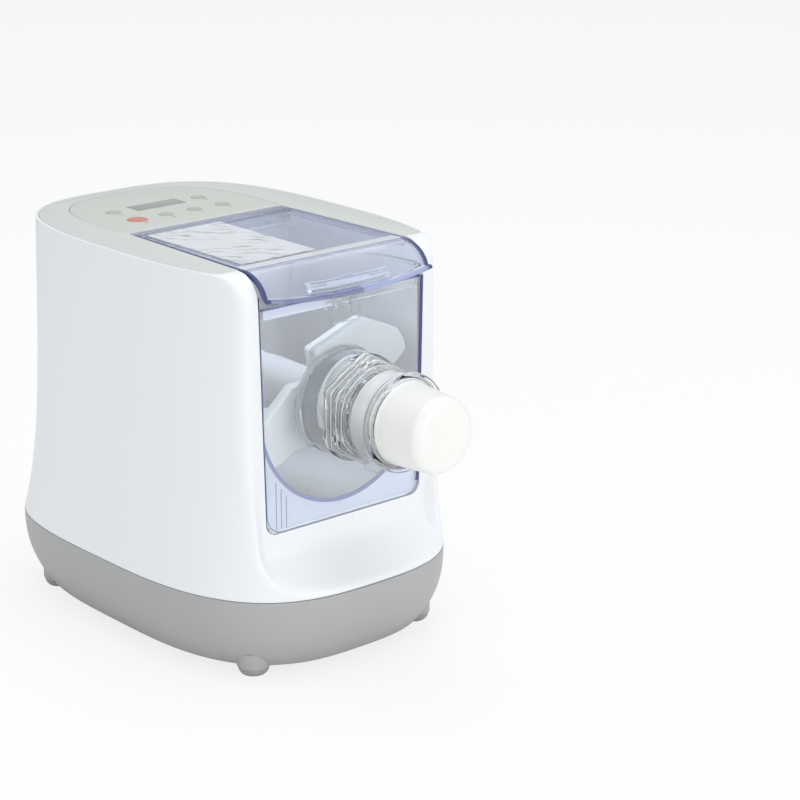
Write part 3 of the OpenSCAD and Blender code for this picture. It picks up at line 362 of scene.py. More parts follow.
def soften(thing, sharp):
    """Smooth shading, except over edges that turn more than sharp degrees."""
    mesh = thing.data
    mesh.polygons.foreach_set("use_smooth", np.ones(len(mesh.polygons), bool))
    mesh.set_sharp_from_angle(angle=math.radians(sharp))
    mesh.update()
    return thing


def grid_quads(rows, columns, wrap=False):
    """Faces between neighbouring points of a grid, closed across its columns.

    Point (i, j) has number i columns + j. Each face joins it to its neighbours in the next column
    and the next row, and with wrap the last row joins the first.
    """
    r = np.arange(rows if wrap else rows - 1)[:, None]
    c = np.arange(columns)[None]
    a = r * columns + c
    b = r * columns + (c + 1) % columns
    d = (r + 1) % rows * columns + c
    e = (r + 1) % rows * columns + (c + 1) % columns
    return np.stack([a, b, e, d], -1).reshape(-1, 4)


def stack(name, rings, wrap=False, sharp=SHARP):
    """A solid through closed rings of points: capped at both ends, or closed on itself."""
    rings = np.asarray(rings, float)
    rows, columns = rings.shape[:2]
    first, last = np.arange(columns)[::-1], (rows - 1) * columns + np.arange(columns)
    caps = () if wrap else (first, last)
    return piece(name, rings, grid_quads(rows, columns, wrap), caps, sharp)


def slab(name, outline, low, high, radius=0.0, upright=False):
    """An outline given thickness, with quarter-round edges.

    It lies flat from height low to high or, if upright, stands across the machine from station low
    to high, where the outline's second number is a height.
    """
    levels = edge_round(low, high, radius) if radius else [(low, 0.0), (high, 0.0)]
    place = stood if upright else laid
    return stack(name, [place(inset(outline, w) if w > 0 else outline, at) for at, w in levels])


def turned(name, profile, count=128, closed=False):
    """A profile of (radius, station) carried round the drive axis, which runs from front to back."""
    r, y = np.asarray(profile, float).T[:, :, None]
    return piece(name, round_axis(r, full_turn(count), y), grid_quads(len(r), count, closed))


def turned_up(name, profile, centre, count=96):
    """A profile of (radius, height) carried round an upright axis at centre."""
    r, z = np.asarray(profile, float).T[:, :, None]
    t = full_turn(count)
    x, y = centre[0] + r * np.cos(t), centre[1] + r * np.sin(t)
    return piece(name, np.stack([x, y, np.broadcast_to(z, x.shape)], 2), grid_quads(len(r), count))


def keep_modified(thing):
    """The mesh that a thing's modifiers show becomes its own, and the modifiers go."""
    graph = bpy.context.evaluated_depsgraph_get()
    made = bpy.data.meshes.new_from_object(thing.evaluated_get(graph))
    thing.modifiers.clear()
    old = thing.data
    thing.data = made
    bpy.data.meshes.remove(old)
    made.name = thing.name


def combine(thing, tools, how="DIFFERENCE", sharp=SHARP):
    """Cuts tools out of a thing, or joins them to it, and removes the tools."""
    for tool in tools:
        step = thing.modifiers.new("step", "BOOLEAN")
        step.operation = how
        step.solver = "MANIFOLD"
        step.object = tool
        keep_modified(thing)
        bpy.data.objects.remove(tool)
    return soften(thing, sharp)


def soften_edges(thing, width):
    """A fine round along every edge that turns sharply, with the flats kept flat."""
    step = thing.modifiers.new("edges", "BEVEL")
    step.width = width * MM
    step.segments = 2
    step.limit_method = "ANGLE"
    step.angle_limit = math.radians(BEVEL_TURN)
    step.harden_normals = True
    keep_modified(thing)
    return thing


def paint(thing, *materials):
    """Gives a thing its materials, first one everywhere."""
    thing.data.materials.clear()
    for m in materials:
        thing.data.materials.append(m)
    return thing


def paint_where(thing, index, chosen):
    """Faces take material number index where chosen(centres, normals), in millimetres, is true."""
    mesh = thing.data
    n = len(mesh.polygons)
    centre, normal = np.empty(n * 3), np.empty(n * 3)
    mesh.polygons.foreach_get("center", centre)
    mesh.polygons.foreach_get("normal", normal)
    centre = centre.reshape(-1, 3) / MM
    centre[:, 1] -= FRAME_Y
    now = np.zeros(n, np.int32)
    mesh.polygons.foreach_get("material_index", now)
    now[chosen(centre, normal.reshape(-1, 3))] = index
    mesh.polygons.foreach_set("material_index", now)


def fit(thing, body, slot, *nodes):
    """A finished piece rides on its body and stands for its nodes, which it hides; the slot is not used.
    """
    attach(thing, body)
    if nodes:
        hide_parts(*nodes)


# ---- Finishes ----

COAT_ROUGHNESS = 0.08
COARSE_PER_METRE = 14.0
SHADOW_TINT = 0.15


def add_node(tree, kind, inputs=(), **settings):
    """A node in a tree, with its settings and the plain values of its inputs."""
    new = tree.nodes.new(kind)
    for name, value in settings.items():
        setattr(new, name, value)
    for socket, value in dict(inputs).items():
        new.inputs[socket].default_value = value
    return new


def wire(tree, *links):
    """Joins an output to an input for each (node, output, node, input)."""
    for source, output, target, socket in links:
        tree.links.new(source.outputs[output], target.inputs[socket])


def add_sockets(group, way, *sockets):
    """A node group's sockets on one side: (name, kind) or (name, kind, plain value) each."""
    for name, kind, *value in sockets:
        made = group.interface.new_socket(name, in_out=way, socket_type="NodeSocket" + kind)
        if value:
            made.default_value = value[0]


def surface_grain():
    """Node group: a fine moulded or cast grain that shifts colour, roughness and height a little.

    Two noises over the piece's own coordinates, one coarse and one fine: the coarse one, less a
    half, is multiplied by the two changes and moves colour and roughness, and the fine one gives
    the height.
    """
    group = bpy.data.node_groups.new("surface_grain", "ShaderNodeTree")
    add_sockets(group, "INPUT", ("Colour", "Color"), ("Roughness", "Float", 0.4),
                ("Grain per metre", "Float", 900.0), ("Colour change", "Float", 0.02),
                ("Roughness change", "Float", 0.05), ("Depth", "Float", 0.00002))
    add_sockets(group, "OUTPUT", ("Colour", "Color"), ("Roughness", "Float"), ("Normal", "Vector"))
    given, out = add_node(group, "NodeGroupInput"), add_node(group, "NodeGroupOutput")
    where = add_node(group, "ShaderNodeTexCoord")
    coarse = add_node(group, "ShaderNodeTexNoise", {"Scale": COARSE_PER_METRE, "Detail": 4.0})
    fine = add_node(group, "ShaderNodeTexNoise", {"Detail": 2.0})
    centre = add_node(group, "ShaderNodeMath", {1: 0.5}, operation="SUBTRACT")
    shade = add_node(group, "ShaderNodeMath", {2: 1.0}, operation="MULTIPLY_ADD")
    tinted = add_node(group, "ShaderNodeVectorMath", operation="SCALE")
    rough = add_node(group, "ShaderNodeMath", operation="MULTIPLY_ADD")
    bump = add_node(group, "ShaderNodeBump", {"Strength": 1.0})
    wire(group, (where, "Object", coarse, "Vector"), (where, "Object", fine, "Vector"),
         (given, "Grain per metre", fine, "Scale"), (coarse, "Fac", centre, 0),
         (centre, 0, shade, 0), (given, "Colour change", shade, 1),
         (given, "Colour", tinted, 0), (shade, 0, tinted, "Scale"),
         (centre, 0, rough, 0), (given, "Roughness change", rough, 1),
         (given, "Roughness", rough, 2),
         (given, "Depth", bump, "Distance"), (fine, "Fac", bump, "Height"),
         (tinted, "Vector", out, "Colour"), (rough, 0, out, "Roughness"),
         (bump, "Normal", out, "Normal"))
    return group


GRAIN = surface_grain()


def finish(name, colour, roughness, grain=900.0, depth=0.02, colour_change=0.03,
           rough_change=0.06, metallic=0.0, coat=0.0):
    """A solid finish: a plain shader whose colour, roughness and height come from the grain."""
    mat = bpy.data.materials.new(name)
    mat.use_nodes = True
    tree = mat.node_tree
    shader = tree.nodes["Principled BSDF"]
    shader.inputs["Metallic"].default_value = metallic
    shader.inputs["Coat Weight"].default_value = coat
    shader.inputs["Coat Roughness"].default_value = COAT_ROUGHNESS
    group = tree.nodes.new("ShaderNodeGroup")
    group.node_tree = GRAIN
    for socket, value in (("Colour", (*colour, 1.0)), ("Roughness", roughness),
                          ("Grain per metre", grain), ("Colour change", colour_change),
                          ("Roughness change", rough_change), ("Depth", depth * MM)):
        group.inputs[socket].default_value = value
    wire(tree, (group, "Colour", shader, "Base Color"), (group, "Roughness", shader, "Roughness"),
         (group, "Normal", shader, "Normal"))
    return mat


def clear(name, colour, roughness=0.03, ior=1.49, depth=0.01, transmission=1.0):
    """Clear plastic: it bends light for the eye, and lets the lamps' light through to what it covers."""
    mat = finish(name, colour, roughness, grain=160.0, depth=depth, colour_change=0.02,
                 rough_change=min(0.02, roughness))
    tree = mat.node_tree
    shader = tree.nodes["Principled BSDF"]
    shader.inputs["Transmission Weight"].default_value = transmission
    shader.inputs["IOR"].default_value = ior
    tint = (*[mix(1.0, c, SHADOW_TINT) for c in colour], 1.0)
    through = add_node(tree, "ShaderNodeBsdfTransparent", {"Color": tint})
    path, choose = add_node(tree, "ShaderNodeLightPath"), add_node(tree, "ShaderNodeMixShader")
    wire(tree, (path, "Is Shadow Ray", choose, "Fac"), (shader, "BSDF", choose, 1),
         (through, "BSDF", choose, 2), (choose, "Shader", tree.nodes["Material Output"], "Surface"))
    return mat


shell_white = finish("shell_white", (0.85, 0.865, 0.885), 0.38, grain=420.0, depth=0.004, coat=0.15,
                     colour_change=0.006)
deck_grey = finish("deck_grey", (0.60, 0.623, 0.613), 0.42, grain=1500.0, depth=0.005)
panel_film = finish("panel_film", (0.565, 0.582, 0.545), 0.48, grain=1900.0, depth=0.003)
display_tint = finish("display_tint", (0.25, 0.29, 0.27), 0.22, grain=300.0, depth=0.003, coat=0.4)
key_orange = finish("key_orange", (0.56, 0.20, 0.15), 0.36, grain=1200.0, depth=0.006, coat=0.2)
key_grey = finish("key_grey", (0.42, 0.45, 0.42), 0.42, grain=1200.0, depth=0.006)
mark_grey = finish("mark_grey", (0.28, 0.31, 0.29), 0.5, depth=0.002)
base_grey = finish("base_grey", (0.42, 0.42, 0.42), 0.44, grain=1300.0, depth=0.010, colour_change=0.02)
foot_rubber = finish("foot_rubber", (0.36, 0.36, 0.365), 0.7, grain=2200.0, depth=0.03)
seal_rubber = finish("seal_rubber", (0.62, 0.64, 0.66), 0.55, grain=1500.0, depth=0.01)
liner_white = finish("liner_white", (0.92, 0.945, 0.975), 0.32, grain=420.0, depth=0.006, coat=0.2,
                     colour_change=0.015)
food_white = finish("food_white", (0.86, 0.865, 0.83), 0.34, grain=700.0, depth=0.008, coat=0.25)
# The auger's grey is painted shade, for the shade it lies in within the collar.
auger_painted_shade_grey = finish("auger_painted_shade_grey", (0.50, 0.525, 0.535), 0.40, grain=700.0, depth=0.008)
paddle_white = finish("paddle_white", (0.80, 0.83, 0.84), 0.38, grain=700.0, depth=0.008)
# The paddle's front faces are painted this darker grey than its other faces: painted shade.
paddle_front_painted_shade = finish("paddle_front_painted_shade", (0.42, 0.455, 0.47), 0.42, grain=700.0, depth=0.008)
flange_pale = finish("flange_pale", (0.52, 0.565, 0.68), 0.35, grain=500.0, depth=0.006)
flange_grey = finish("flange_grey", (0.40, 0.41, 0.41), 0.4, grain=700.0, depth=0.006)
# A dark blue for thin lines on the bowl and its flange: painted shade along clear edges seen through the
# front.
painted_shade_line_blue = finish("painted_shade_line_blue", (0.05, 0.07, 0.28), 0.4, grain=700.0, depth=0.004)
# A grey for thin lines on the nut and the catch's hooks: painted shade.
painted_shade_line_grey = finish("painted_shade_line_grey", (0.42, 0.44, 0.48), 0.4, grain=700.0, depth=0.004)
black_plastic = finish("black_plastic", (0.018, 0.018, 0.02), 0.45, grain=1800.0)
steel = finish("steel", (0.60, 0.60, 0.61), 0.28, metallic=1.0, grain=2600.0, depth=0.004)
cast_alloy = finish("cast_alloy", (0.50, 0.51, 0.52), 0.48, metallic=1.0, grain=1100.0, depth=0.04)
zinc_can = finish("zinc_can", (0.50, 0.51, 0.53), 0.34, metallic=1.0, grain=700.0, depth=0.006)
laminations = finish("laminations", (0.30, 0.22, 0.17), 0.46, metallic=0.8, grain=2400.0, depth=0.03)
magnet_grey = finish("magnet_grey", (0.06, 0.06, 0.07), 0.5, grain=1600.0)
gear_nylon = finish("gear_nylon", (0.80, 0.77, 0.66), 0.44, grain=1000.0, depth=0.01)
pinion_brass = finish("pinion_brass", (0.74, 0.52, 0.22), 0.26, metallic=1.0, grain=2400.0,
                      depth=0.004)
chassis_metal = finish("chassis_metal", (0.44, 0.46, 0.48), 0.40, metallic=0.9, grain=260.0,
                       depth=0.01, colour_change=0.25)
board_green = finish("board_green", (0.02, 0.12, 0.05), 0.35, coat=0.3)
cable_grey = finish("cable_grey", (0.52, 0.52, 0.54), 0.5)
lead_red = finish("lead_red", (0.32, 0.02, 0.015), 0.42, depth=0.01)
clear_plastic = clear("clear_plastic", (0.982, 0.988, 0.998), ior=1.38)
clear_smooth = clear("clear_smooth", (0.99, 0.992, 0.99), 0.02, ior=1.24)
panel_haze = clear("panel_haze", (0.92, 0.955, 0.99), 0.0, ior=1.38, depth=0.002,
                   transmission=0.74)
# The lid's top is tinted much darker than its apron and the other clear parts, which stands for the shade
# of the chamber seen through it: painted shade.
lid_clear = clear("lid_clear", (0.55, 0.60, 0.73))
apron_clear = clear("apron_clear", (0.84, 0.875, 0.95), 0.0, depth=0.002, transmission=0.88)
grip_pale = clear("grip_pale", (0.66, 0.71, 0.85), 0.1, transmission=0.5)
frost_clear = clear("frost_clear", (0.80, 0.82, 0.86), 0.35, ior=1.3, transmission=0.3)
# The clear parts' navy and paler blue edges are painted shade: they stand for the dark look that
# refraction gives the plastic's edges.
navy_painted_edge_shade = clear("navy_painted_edge_shade", (0.06, 0.075, 0.22), 0.16, transmission=0.25)
blue_painted_edge_shade = clear("blue_painted_edge_shade", (0.29, 0.33, 0.54), 0.16, transmission=0.35)


def label_print():
    """Node group: a frosted area with soft wavy strands.

    Bands run across the label; a noise bends them, and a second noise thins them out in places.
    """
    group = bpy.data.node_groups.new("label_print", "ShaderNodeTree")
    add_sockets(group, "INPUT", ("Ground", "Color", (0.80, 0.82, 0.84, 1)),
                ("Strand", "Color", (0.44, 0.46, 0.48, 1)))
    add_sockets(group, "OUTPUT", ("Colour", "Color"))
    given, out = add_node(group, "NodeGroupInput"), add_node(group, "NodeGroupOutput")
    where = add_node(group, "ShaderNodeTexCoord")
    bands = add_node(group, "ShaderNodeTexWave", {"Scale": 46.0, "Distortion": 9.0, "Detail": 2.0,
                                                  "Detail Scale": 0.9}, bands_direction="DIAGONAL")
    patches = add_node(group, "ShaderNodeTexNoise", {"Scale": 55.0, "Detail": 3.0})
    thin = add_node(group, "ShaderNodeMapRange", {"From Min": 0.55, "From Max": 0.95})
    strong = add_node(group, "ShaderNodeMapRange", {"From Min": 0.42, "From Max": 0.66})
    both = add_node(group, "ShaderNodeMath", operation="MULTIPLY")
    blend = add_node(group, "ShaderNodeMix", data_type="RGBA")
    wire(group, (where, "Object", bands, "Vector"), (where, "Object", patches, "Vector"),
         (bands, "Fac", thin, "Value"), (patches, "Fac", strong, "Value"),
         (thin, "Result", both, 0), (strong, "Result", both, 1),
         (both, 0, blend, "Factor"), (given, "Ground", blend, 6), (given, "Strand", blend, 7),
         (blend, 2, out, "Colour"))
    return group


def label_finish():
    """The label: frosted film with the strand print, which lets most of the lamps' light through."""
    mat = clear("label_frost", (0.8, 0.82, 0.84), 0.5, ior=1.3, transmission=0.25)
    tree = mat.node_tree
    strands = tree.nodes.new("ShaderNodeGroup")
    strands.node_tree = label_print()
    wire(tree, (strands, "Colour", tree.nodes["Principled BSDF"], "Base Color"))
    return mat


label_frost = label_finish()

# ---- Base and feet ----

BASE_FLOOR = FOOT_H + SHELL_WALL
SOLE_ROUND = 1.5
SEAM_ROUND = 0.6
SEAM_TOP = SEAM_H - 0.01
FOOT_X = (76.5, 85.5)
FOOT_Y = (-118.0, 118.0)
FOOT_PAD_R = FOOT_R + 2.2
FOOT_PAD_H = 11.0
INLET_W = 30.0
INLET_H = 20.0
INLET_Z = 43.0
INLET_CUT = 20.0
BOSS_X, BOSS_Y, BOSS_R, BOSS_TOP = 68.0, 112.0, 6.0, 30.0
BOSSES = [(x, y) for x in (-BOSS_X, BOSS_X) for y in (-BOSS_Y, BOSS_Y)]
SCREW_HOLE_R = 1.8
SCREW_HEAD_D = 4.0
VENT_W = 3.0
VENT_R = 1.45
SOLE_VENTS = 9
SOLE_VENT_PITCH = 9.0
SOLE_VENT_Y = (40.0, 90.0)
REAR_VENTS = 7
REAR_VENT_PITCH = 8.0
REAR_VENT_Z = (95.0, 135.0)


def vents(count, pitch, low, high):
    """Outlines of a row of slots with round ends, a pitch apart and centred on the machine."""
    slot = rounded(box_outline(-VENT_W / 2, low, VENT_W / 2, high), VENT_R)
    return [slot + ((i - (count - 1) / 2) * pitch, 0) for i in range(count)]


def base_shell():
    """The grey tub: rings up its outside, over its rim and down its inside, closed by two floors.

    The sole's edge is a quarter round, and the rings lie closer together low down, where the tuck
    bends most: at the 1.3rd power of an even share of the height.
    """
    rise = np.linspace(0, 1, 26) ** 1.3
    corner = np.linspace(np.pi / 2, 0, 5)
    sole = [(FOOT_H + SOLE_ROUND * (1 - math.sin(a)), SOLE_ROUND * (1 - math.cos(a)))
            for a in corner]
    outside = [(mix(FOOT_H + SOLE_ROUND + 0.1, SEAM_H - SEAM_ROUND, r), 0.0) for r in rise]
    rim = [(SEAM_H - 0.2, 0.15), (SEAM_TOP, 0.5), (SEAM_TOP, SHELL_WALL)]
    inside = [(mix(BASE_FLOOR, SEAM_TOP, r), SHELL_WALL) for r in rise[::-1][1:]]
    tub = stack("base_tub", body_rings(sole + outside + rim + inside))
    pads = [turned_up("pad", post(FOOT_PAD_R, FOOT_H, FOOT_H + FOOT_PAD_H), (side * x, y))
            for side in (-1, 1) for x, y in zip(FOOT_X, FOOT_Y)]
    bosses = [turned_up("boss", post(BOSS_R, BASE_FLOOR - 1, BOSS_TOP), place, 48)
              for place in BOSSES]
    combine(tub, pads + bosses, "UNION")
    half_w, half_h = INLET_W / 2 + FIT_GAP, INLET_H / 2 + FIT_GAP
    inlet = rounded(box_outline(-half_w, INLET_Z - half_h, half_w, INLET_Z + half_h), 0.4)
    cuts = [slab("cut", inlet, REAR_REACH - INLET_CUT, REAR_REACH + INLET_CUT, upright=True)]
    cuts += [slab("cut", slot, 0, BASE_FLOOR + 1)
             for slot in vents(SOLE_VENTS, SOLE_VENT_PITCH, *SOLE_VENT_Y)]
    seat = FOOT_H + SCREW_HEAD_D
    screw = [(0, -1), (2 * SCREW_HOLE_R, -1), (2 * SCREW_HOLE_R, seat), (SCREW_HOLE_R, seat),
             (SCREW_HOLE_R, BOSS_TOP + 2), (0, BOSS_TOP + 2)]
    cuts += [turned_up("cut", screw, place, 40) for place in BOSSES]
    return combine(tub, cuts)


def feet():
    """Four rubber feet: a profile with a rounded sole and a spreading side, turned."""
    top = FOOT_H - TOUCH
    profile = rounded([(0, 0), (FOOT_R - 1.6, 0), (FOOT_R + 0.4, 2.2), (FOOT_R + 2, top), (0, top)],
                      [0, 2.0, 3.0, 0.3, 0], closed=False)
    for end, end_name in enumerate(("front", "rear")):
        for side, side_name in ((-1, "left"), (1, "right")):
            name = f"foot_{end_name}_{side_name}"
            foot = turned_up(name + "_pad", profile, (side * FOOT_X[end], FOOT_Y[end]))
            fit(paint(foot, foot_rubber), "housing", "foot_rubber", name)


fit(paint(base_shell(), base_grey), "housing", "base_grey", "base_shell")
feet()

# ---- White shell ----

WINDOW_W = 152.0
WINDOW_LOW_W = 143.0
WINDOW_H = 105.0
WINDOW_TOP = DECK_H + 2
WINDOW_R = 9.0
RIM_ROUND = 0.6


def window_outline(gap=0.0, top=WINDOW_TOP, corner=WINDOW_R):
    """The front window: wider at its top, in proportion to height, with rounded lower corners."""
    w1, w0, low = WINDOW_W / 2 - gap, WINDOW_LOW_W / 2 - gap, WINDOW_H + gap
    w1 = mix(w0, w1, (top - low) / (WINDOW_TOP - low))
    return rounded([(-w0, low), (w0, low), (w1, top), (-w1, top)], [corner, corner, 0, 0], 10)


def body_shell():
    """The white shell: rings up its outside, over the rim, and down its inside.

    The shoulder's rings stand at the heights of a quarter round, r sin a above its start.
    """
    low = SEAM_H + SEAM_GAP
    foot = [(low, SHELL_WALL), (low, 0.5), (low + 0.2, 0.15), (low + SEAM_ROUND, 0.0)]
    start = DECK_H - SHOULDER_R
    shoulder = start + SHOULDER_R * np.sin(np.linspace(0, np.pi / 2, 20))
    heights = [*np.linspace(low + 2, FLARE_H + 12, 30), *np.linspace(FLARE_H + 16, start - 2, 24),
               *shoulder[shoulder < DECK_H - RIM_ROUND - TOUCH]]
    side = [(z, 0.0) for z in heights]
    rim = [(DECK_H - RIM_ROUND, 0.0), (DECK_H - 0.2, 0.15), (DECK_H, RIM_ROUND),
           (DECK_H, RIM_W - 0.4), (DECK_H - 0.15, RIM_W - 0.1), (DECK_H - 0.5, RIM_W),
           (DECK_UNDER, RIM_W), (DECK_UNDER, SHELL_WALL)]
    heights = [*(DECK_UNDER - 1 - 2 * np.arange(9)), *np.linspace(start - 4, low + 4, 36)]
    inside = [(z, SHELL_WALL) for z in heights]
    shell = stack("white_shell", body_rings(foot + side + rim + inside), wrap=True)
    cuts = [slab("cut", window_outline(), -FACE_REACH - 20, LID_FRONT_Y + 10, upright=True)]
    cuts += [slab("cut", slot, DECK_BACK - 20, DECK_BACK + 30, upright=True)
             for slot in vents(REAR_VENTS, REAR_VENT_PITCH, *REAR_VENT_Z)]
    return combine(shell, cuts, sharp=40.0)


fit(paint(body_shell(), shell_white), "housing", "shell_white", "body_shell")

# ---- Deck and controls ----

LID_W = 140.0
LID_FRONT_W = 149.0
LID_BACK = 28.0
PAD_HALF_W = 73.0
PAD_BACK = 145.0
PAD_FRONT_Y = LID_BACK + 6
PAD_MID_Y = 48.0
PAD_POWER = 3.0
PAD_R = 3.0
PAD_T = 1.6
PAD_UNDER = DECK_H - PAD_T
KEYS = ("start", "menu", "minus", "plus", "power", "timer")
KEY_PITCH = 26.4
KEY_FRONT_Y = 61.5
KEY_REAR_Y = KEY_FRONT_Y + 31
START_R = 7.6
KEY_R = 5.6
KEY_RADII = (START_R, KEY_R, KEY_R, KEY_R, KEY_R, KEY_R)
KEY_STEM_R = 3.0
KEY_STEM_L = 8.0
KEY_COLLAR_W = 1.4
KEY_COLLAR_T = 1.6
KEY_TRAVEL = 0.8
KEY_CROWN = 0.25
KEY_CROWN_SHARE = 0.86
KEY_EDGE = 0.3
KEY_LIFT = 0.2
DISPLAY_W = 45.0
DISPLAY_D = 17.0
DISPLAY_EDGE = 1.0
MARK_T = 0.06
MARK_DROP = 4.2


def key_place(i):
    """Keys 0 to 3 stand in the front row from the left; 4 and 5 flank the display."""
    if i < 4:
        return ((i - 1.5) * KEY_PITCH, KEY_FRONT_Y)
    return (-1.5 * KEY_PITCH if i == 4 else 1.5 * KEY_PITCH, KEY_REAR_Y)


def pad_outline(gap=0.0):
    """The control film: straight sides in front and a superellipse behind.

    Behind, x = a cos^(2/n) and y = b sin^(2/n) over half a turn.
    """
    t = np.linspace(0, np.pi, 121)
    a, b = PAD_HALF_W - gap, PAD_BACK - PAD_MID_Y - gap
    x = a * np.sign(np.cos(t)) * np.abs(np.cos(t)) ** (2 / PAD_POWER)
    y = PAD_MID_Y + b * np.sin(t) ** (2 / PAD_POWER)
    front = np.array([(-a, PAD_FRONT_Y + gap), (a, PAD_FRONT_Y + gap)])
    outline = np.concatenate([front, np.stack([x, y], 1)])
    corners = np.zeros(len(outline))
    corners[:2] = PAD_R
    return rounded(outline, corners)


def well_outline(gap=0.0):
    """The opening that the lid lies in, wider towards the front in proportion to the distance."""
    y0, y1 = -FACE_REACH - 20, LID_BACK + gap
    w0 = mix(LID_W, LID_FRONT_W, (LID_BACK - y0) / (LID_BACK - LID_FRONT_Y)) / 2 + gap
    w1 = LID_W / 2 + gap
    return rounded([(-w0, y0), (w0, y0), (w1, y1), (-w1, y1)], [0, 0, 2.0, 2.0])


def display_outline(grow=0.0):
    """The display's rectangle, with rounded corners, between the two rear keys."""
    x, y = DISPLAY_W / 2 + grow, DISPLAY_D / 2 + grow
    return rounded(box_outline(-x, -y, x, y), 1.2) + (0, KEY_REAR_Y)


def top_deck():
    """The grey deck inside the shell's rim, with its well, its recess and its holes.

    It is the body's ring at the deck's height, drawn in a little further at its top edge.
    """
    w = RIM_W + FIT_GAP
    levels = [(DECK_UNDER, w), (DECK_H - 0.5, w), (DECK_H - 0.15, w + 0.12), (DECK_H, w + 0.5)]
    deck = stack("deck_plate", [laid(body_rings([(DECK_H, i)])[0], z) for z, i in levels])
    low, high = DECK_UNDER - 1, DECK_H + 2
    cuts = [slab("cut", well_outline(MOVE_GAP), low, high),
            slab("cut", pad_outline(), PAD_UNDER, high),
            slab("cut", inset(display_outline(), DISPLAY_EDGE), low, high)]
    cuts += [turned_up("cut", post(KEY_STEM_R + FIT_GAP, low, DECK_H + 1), key_place(i), 40)
             for i in range(len(KEYS))]
    combine(deck, cuts)
    return soften_edges(deck, 0.35)


def control_film():
    """The control film with holes for its keys and its display."""
    film = slab("control_film", pad_outline(SEAM_GAP), PAD_UNDER + TOUCH, DECK_H + TOUCH, 0.3)
    low, high = PAD_UNDER - 1, DECK_H + 1
    cuts = [slab("cut", display_outline(FIT_GAP), low, high)]
    cuts += [turned_up("cut", post(r + FIT_GAP, low, high), key_place(i), 72)
             for i, r in enumerate(KEY_RADII)]
    return combine(film, cuts)


def key(i):
    """A key: a crowned cap with a rounded rim, on a stem with a collar that holds it in.

    The crown falls from its middle by the square of the share of the radius.
    """
    r = KEY_RADII[i]
    low = PAD_UNDER + KEY_TRAVEL + KEY_LIFT
    top = low + PAD_T - KEY_EDGE
    crown = [(r * s, top - KEY_CROWN * s * s) for s in np.linspace(0, KEY_CROWN_SHARE, 10)]
    rim = rounded([crown[-1], (r, top - KEY_EDGE), (r, low), (KEY_STEM_R, low)],
                  [0, 0.35, 0.1, 0], closed=False)
    collar_r, foot = KEY_STEM_R + KEY_COLLAR_W, DECK_H - KEY_STEM_L
    stem = [(KEY_STEM_R, DECK_UNDER), (collar_r, DECK_UNDER - 0.2),
            (collar_r, DECK_UNDER - KEY_COLLAR_T), (KEY_STEM_R, DECK_UNDER - KEY_COLLAR_T),
            (KEY_STEM_R, foot), (0, foot)]
    return turned_up(KEYS[i] + "_key_cap", np.concatenate([crown, rim[1:], stem]), key_place(i))


def bar(x0, y0, x1, y1, w):
    """A flat stroke from one point to another: each end moved half the width to either side."""
    d = np.array([x1 - x0, y1 - y0], float)
    d /= np.linalg.norm(d)
    side = np.array([-d[1], d[0]]) * w / 2
    a, b = np.array([x0, y0]), np.array([x1, y1])
    return np.array([a - side, b - side, b + side, a + side])


def arc_band(inner, outer, start, end, count=28):
    """A flat band between two radii, from one angle to another in degrees."""
    t = np.radians(np.linspace(start, end, count))
    return np.concatenate([polar(outer, t), polar(inner, t[::-1])])


def key_marks():
    """Plain symbols beside the keys: a triangle, lines, minus, plus, a standby sign and a clock.

    Each is printed strokes that stand a hair over the film, in front of its key.
    """
    signs = {
        "start": [[(-1.3, -1.5), (1.7, 0), (-1.3, 1.5)]],
        "menu": [bar(-1.8, y, 1.8, y, 0.5) for y in (-1.2, 0, 1.2)],
        "minus": [bar(-1.8, 0, 1.8, 0, 0.7)],
        "plus": [bar(-1.8, 0, 1.8, 0, 0.7), bar(0, -1.8, 0, 1.8, 0.7)],
        "power": [arc_band(1.45, 1.95, 125, 415), bar(0, 0.4, 0, 2.4, 0.55)],
        "timer": [arc_band(1.575, 2.025, 0, 350), bar(0, -0.1, 0, 1.2, 0.4), bar(0, 0, 1.0, 0, 0.4)],
    }
    for i, name in enumerate(KEYS):
        x, y = key_place(i)
        centre = (x, y - KEY_RADII[i] - MARK_DROP)
        first, *rest = [slab(f"{name}_sign_{k}", np.asarray(stroke) + centre, DECK_H, DECK_H + MARK_T)
                        for k, stroke in enumerate(signs[name])]
        combine(first, rest, "UNION")
        first.name = name + "_sign"
        fit(paint(first, mark_grey), "housing", "key_grey")


fit(paint(top_deck(), deck_grey), "housing", "deck_grey", "top_deck")
fit(paint(control_film(), panel_film), "housing", "panel_green_grey", "control_panel")
display = slab("display_glass", display_outline(), PAD_UNDER + TOUCH, DECK_H + TOUCH, 0.25)
fit(paint(display, display_tint), "housing", "display_grey", "display_window")
for number, key_name in enumerate(KEYS):
    material, slot = (key_orange, "key_orange") if number == 0 else (key_grey, "key_grey")
    fit(paint(key(number), material), key_name + "_key", slot, key_name + "_button")
key_marks()

# ---- Bowl ----

BOWL_R = 74.3
BOWL_WALL = 2.6
BOWL_TOP = DECK_H - 17
BOWL_BACK = 24.0
BOWL_RIM = 2.4
PANEL_Y = -FACE_REACH + 0.5
PANEL_T = 3.0
PANEL_BACK_Y = PANEL_Y + PANEL_T
BOWL_FRONT_Y = PANEL_BACK_Y + 0.9
LINER_FLOOR = AXIS_H - BOWL_R - 1.9
PLATE_HALF_W = 68.0
PLATE_H = BOWL_R * 0.6
RUNNER_X = 60.0
RUNNER_HALF_W = 1.3
RUNNER_H = 38.0
RUNNER_L = 45.6
SEAL_R = 11.0
SEAL_W = 6.0


def u_outline(r, top):
    """A round floor with upright sides: the lower half of a circle, from the left top to the right."""
    arc = polar(r, np.linspace(np.pi, 2 * np.pi, 97)) + (0, AXIS_H)
    return np.concatenate([[(-r, top)], arc, [(r, top)]])


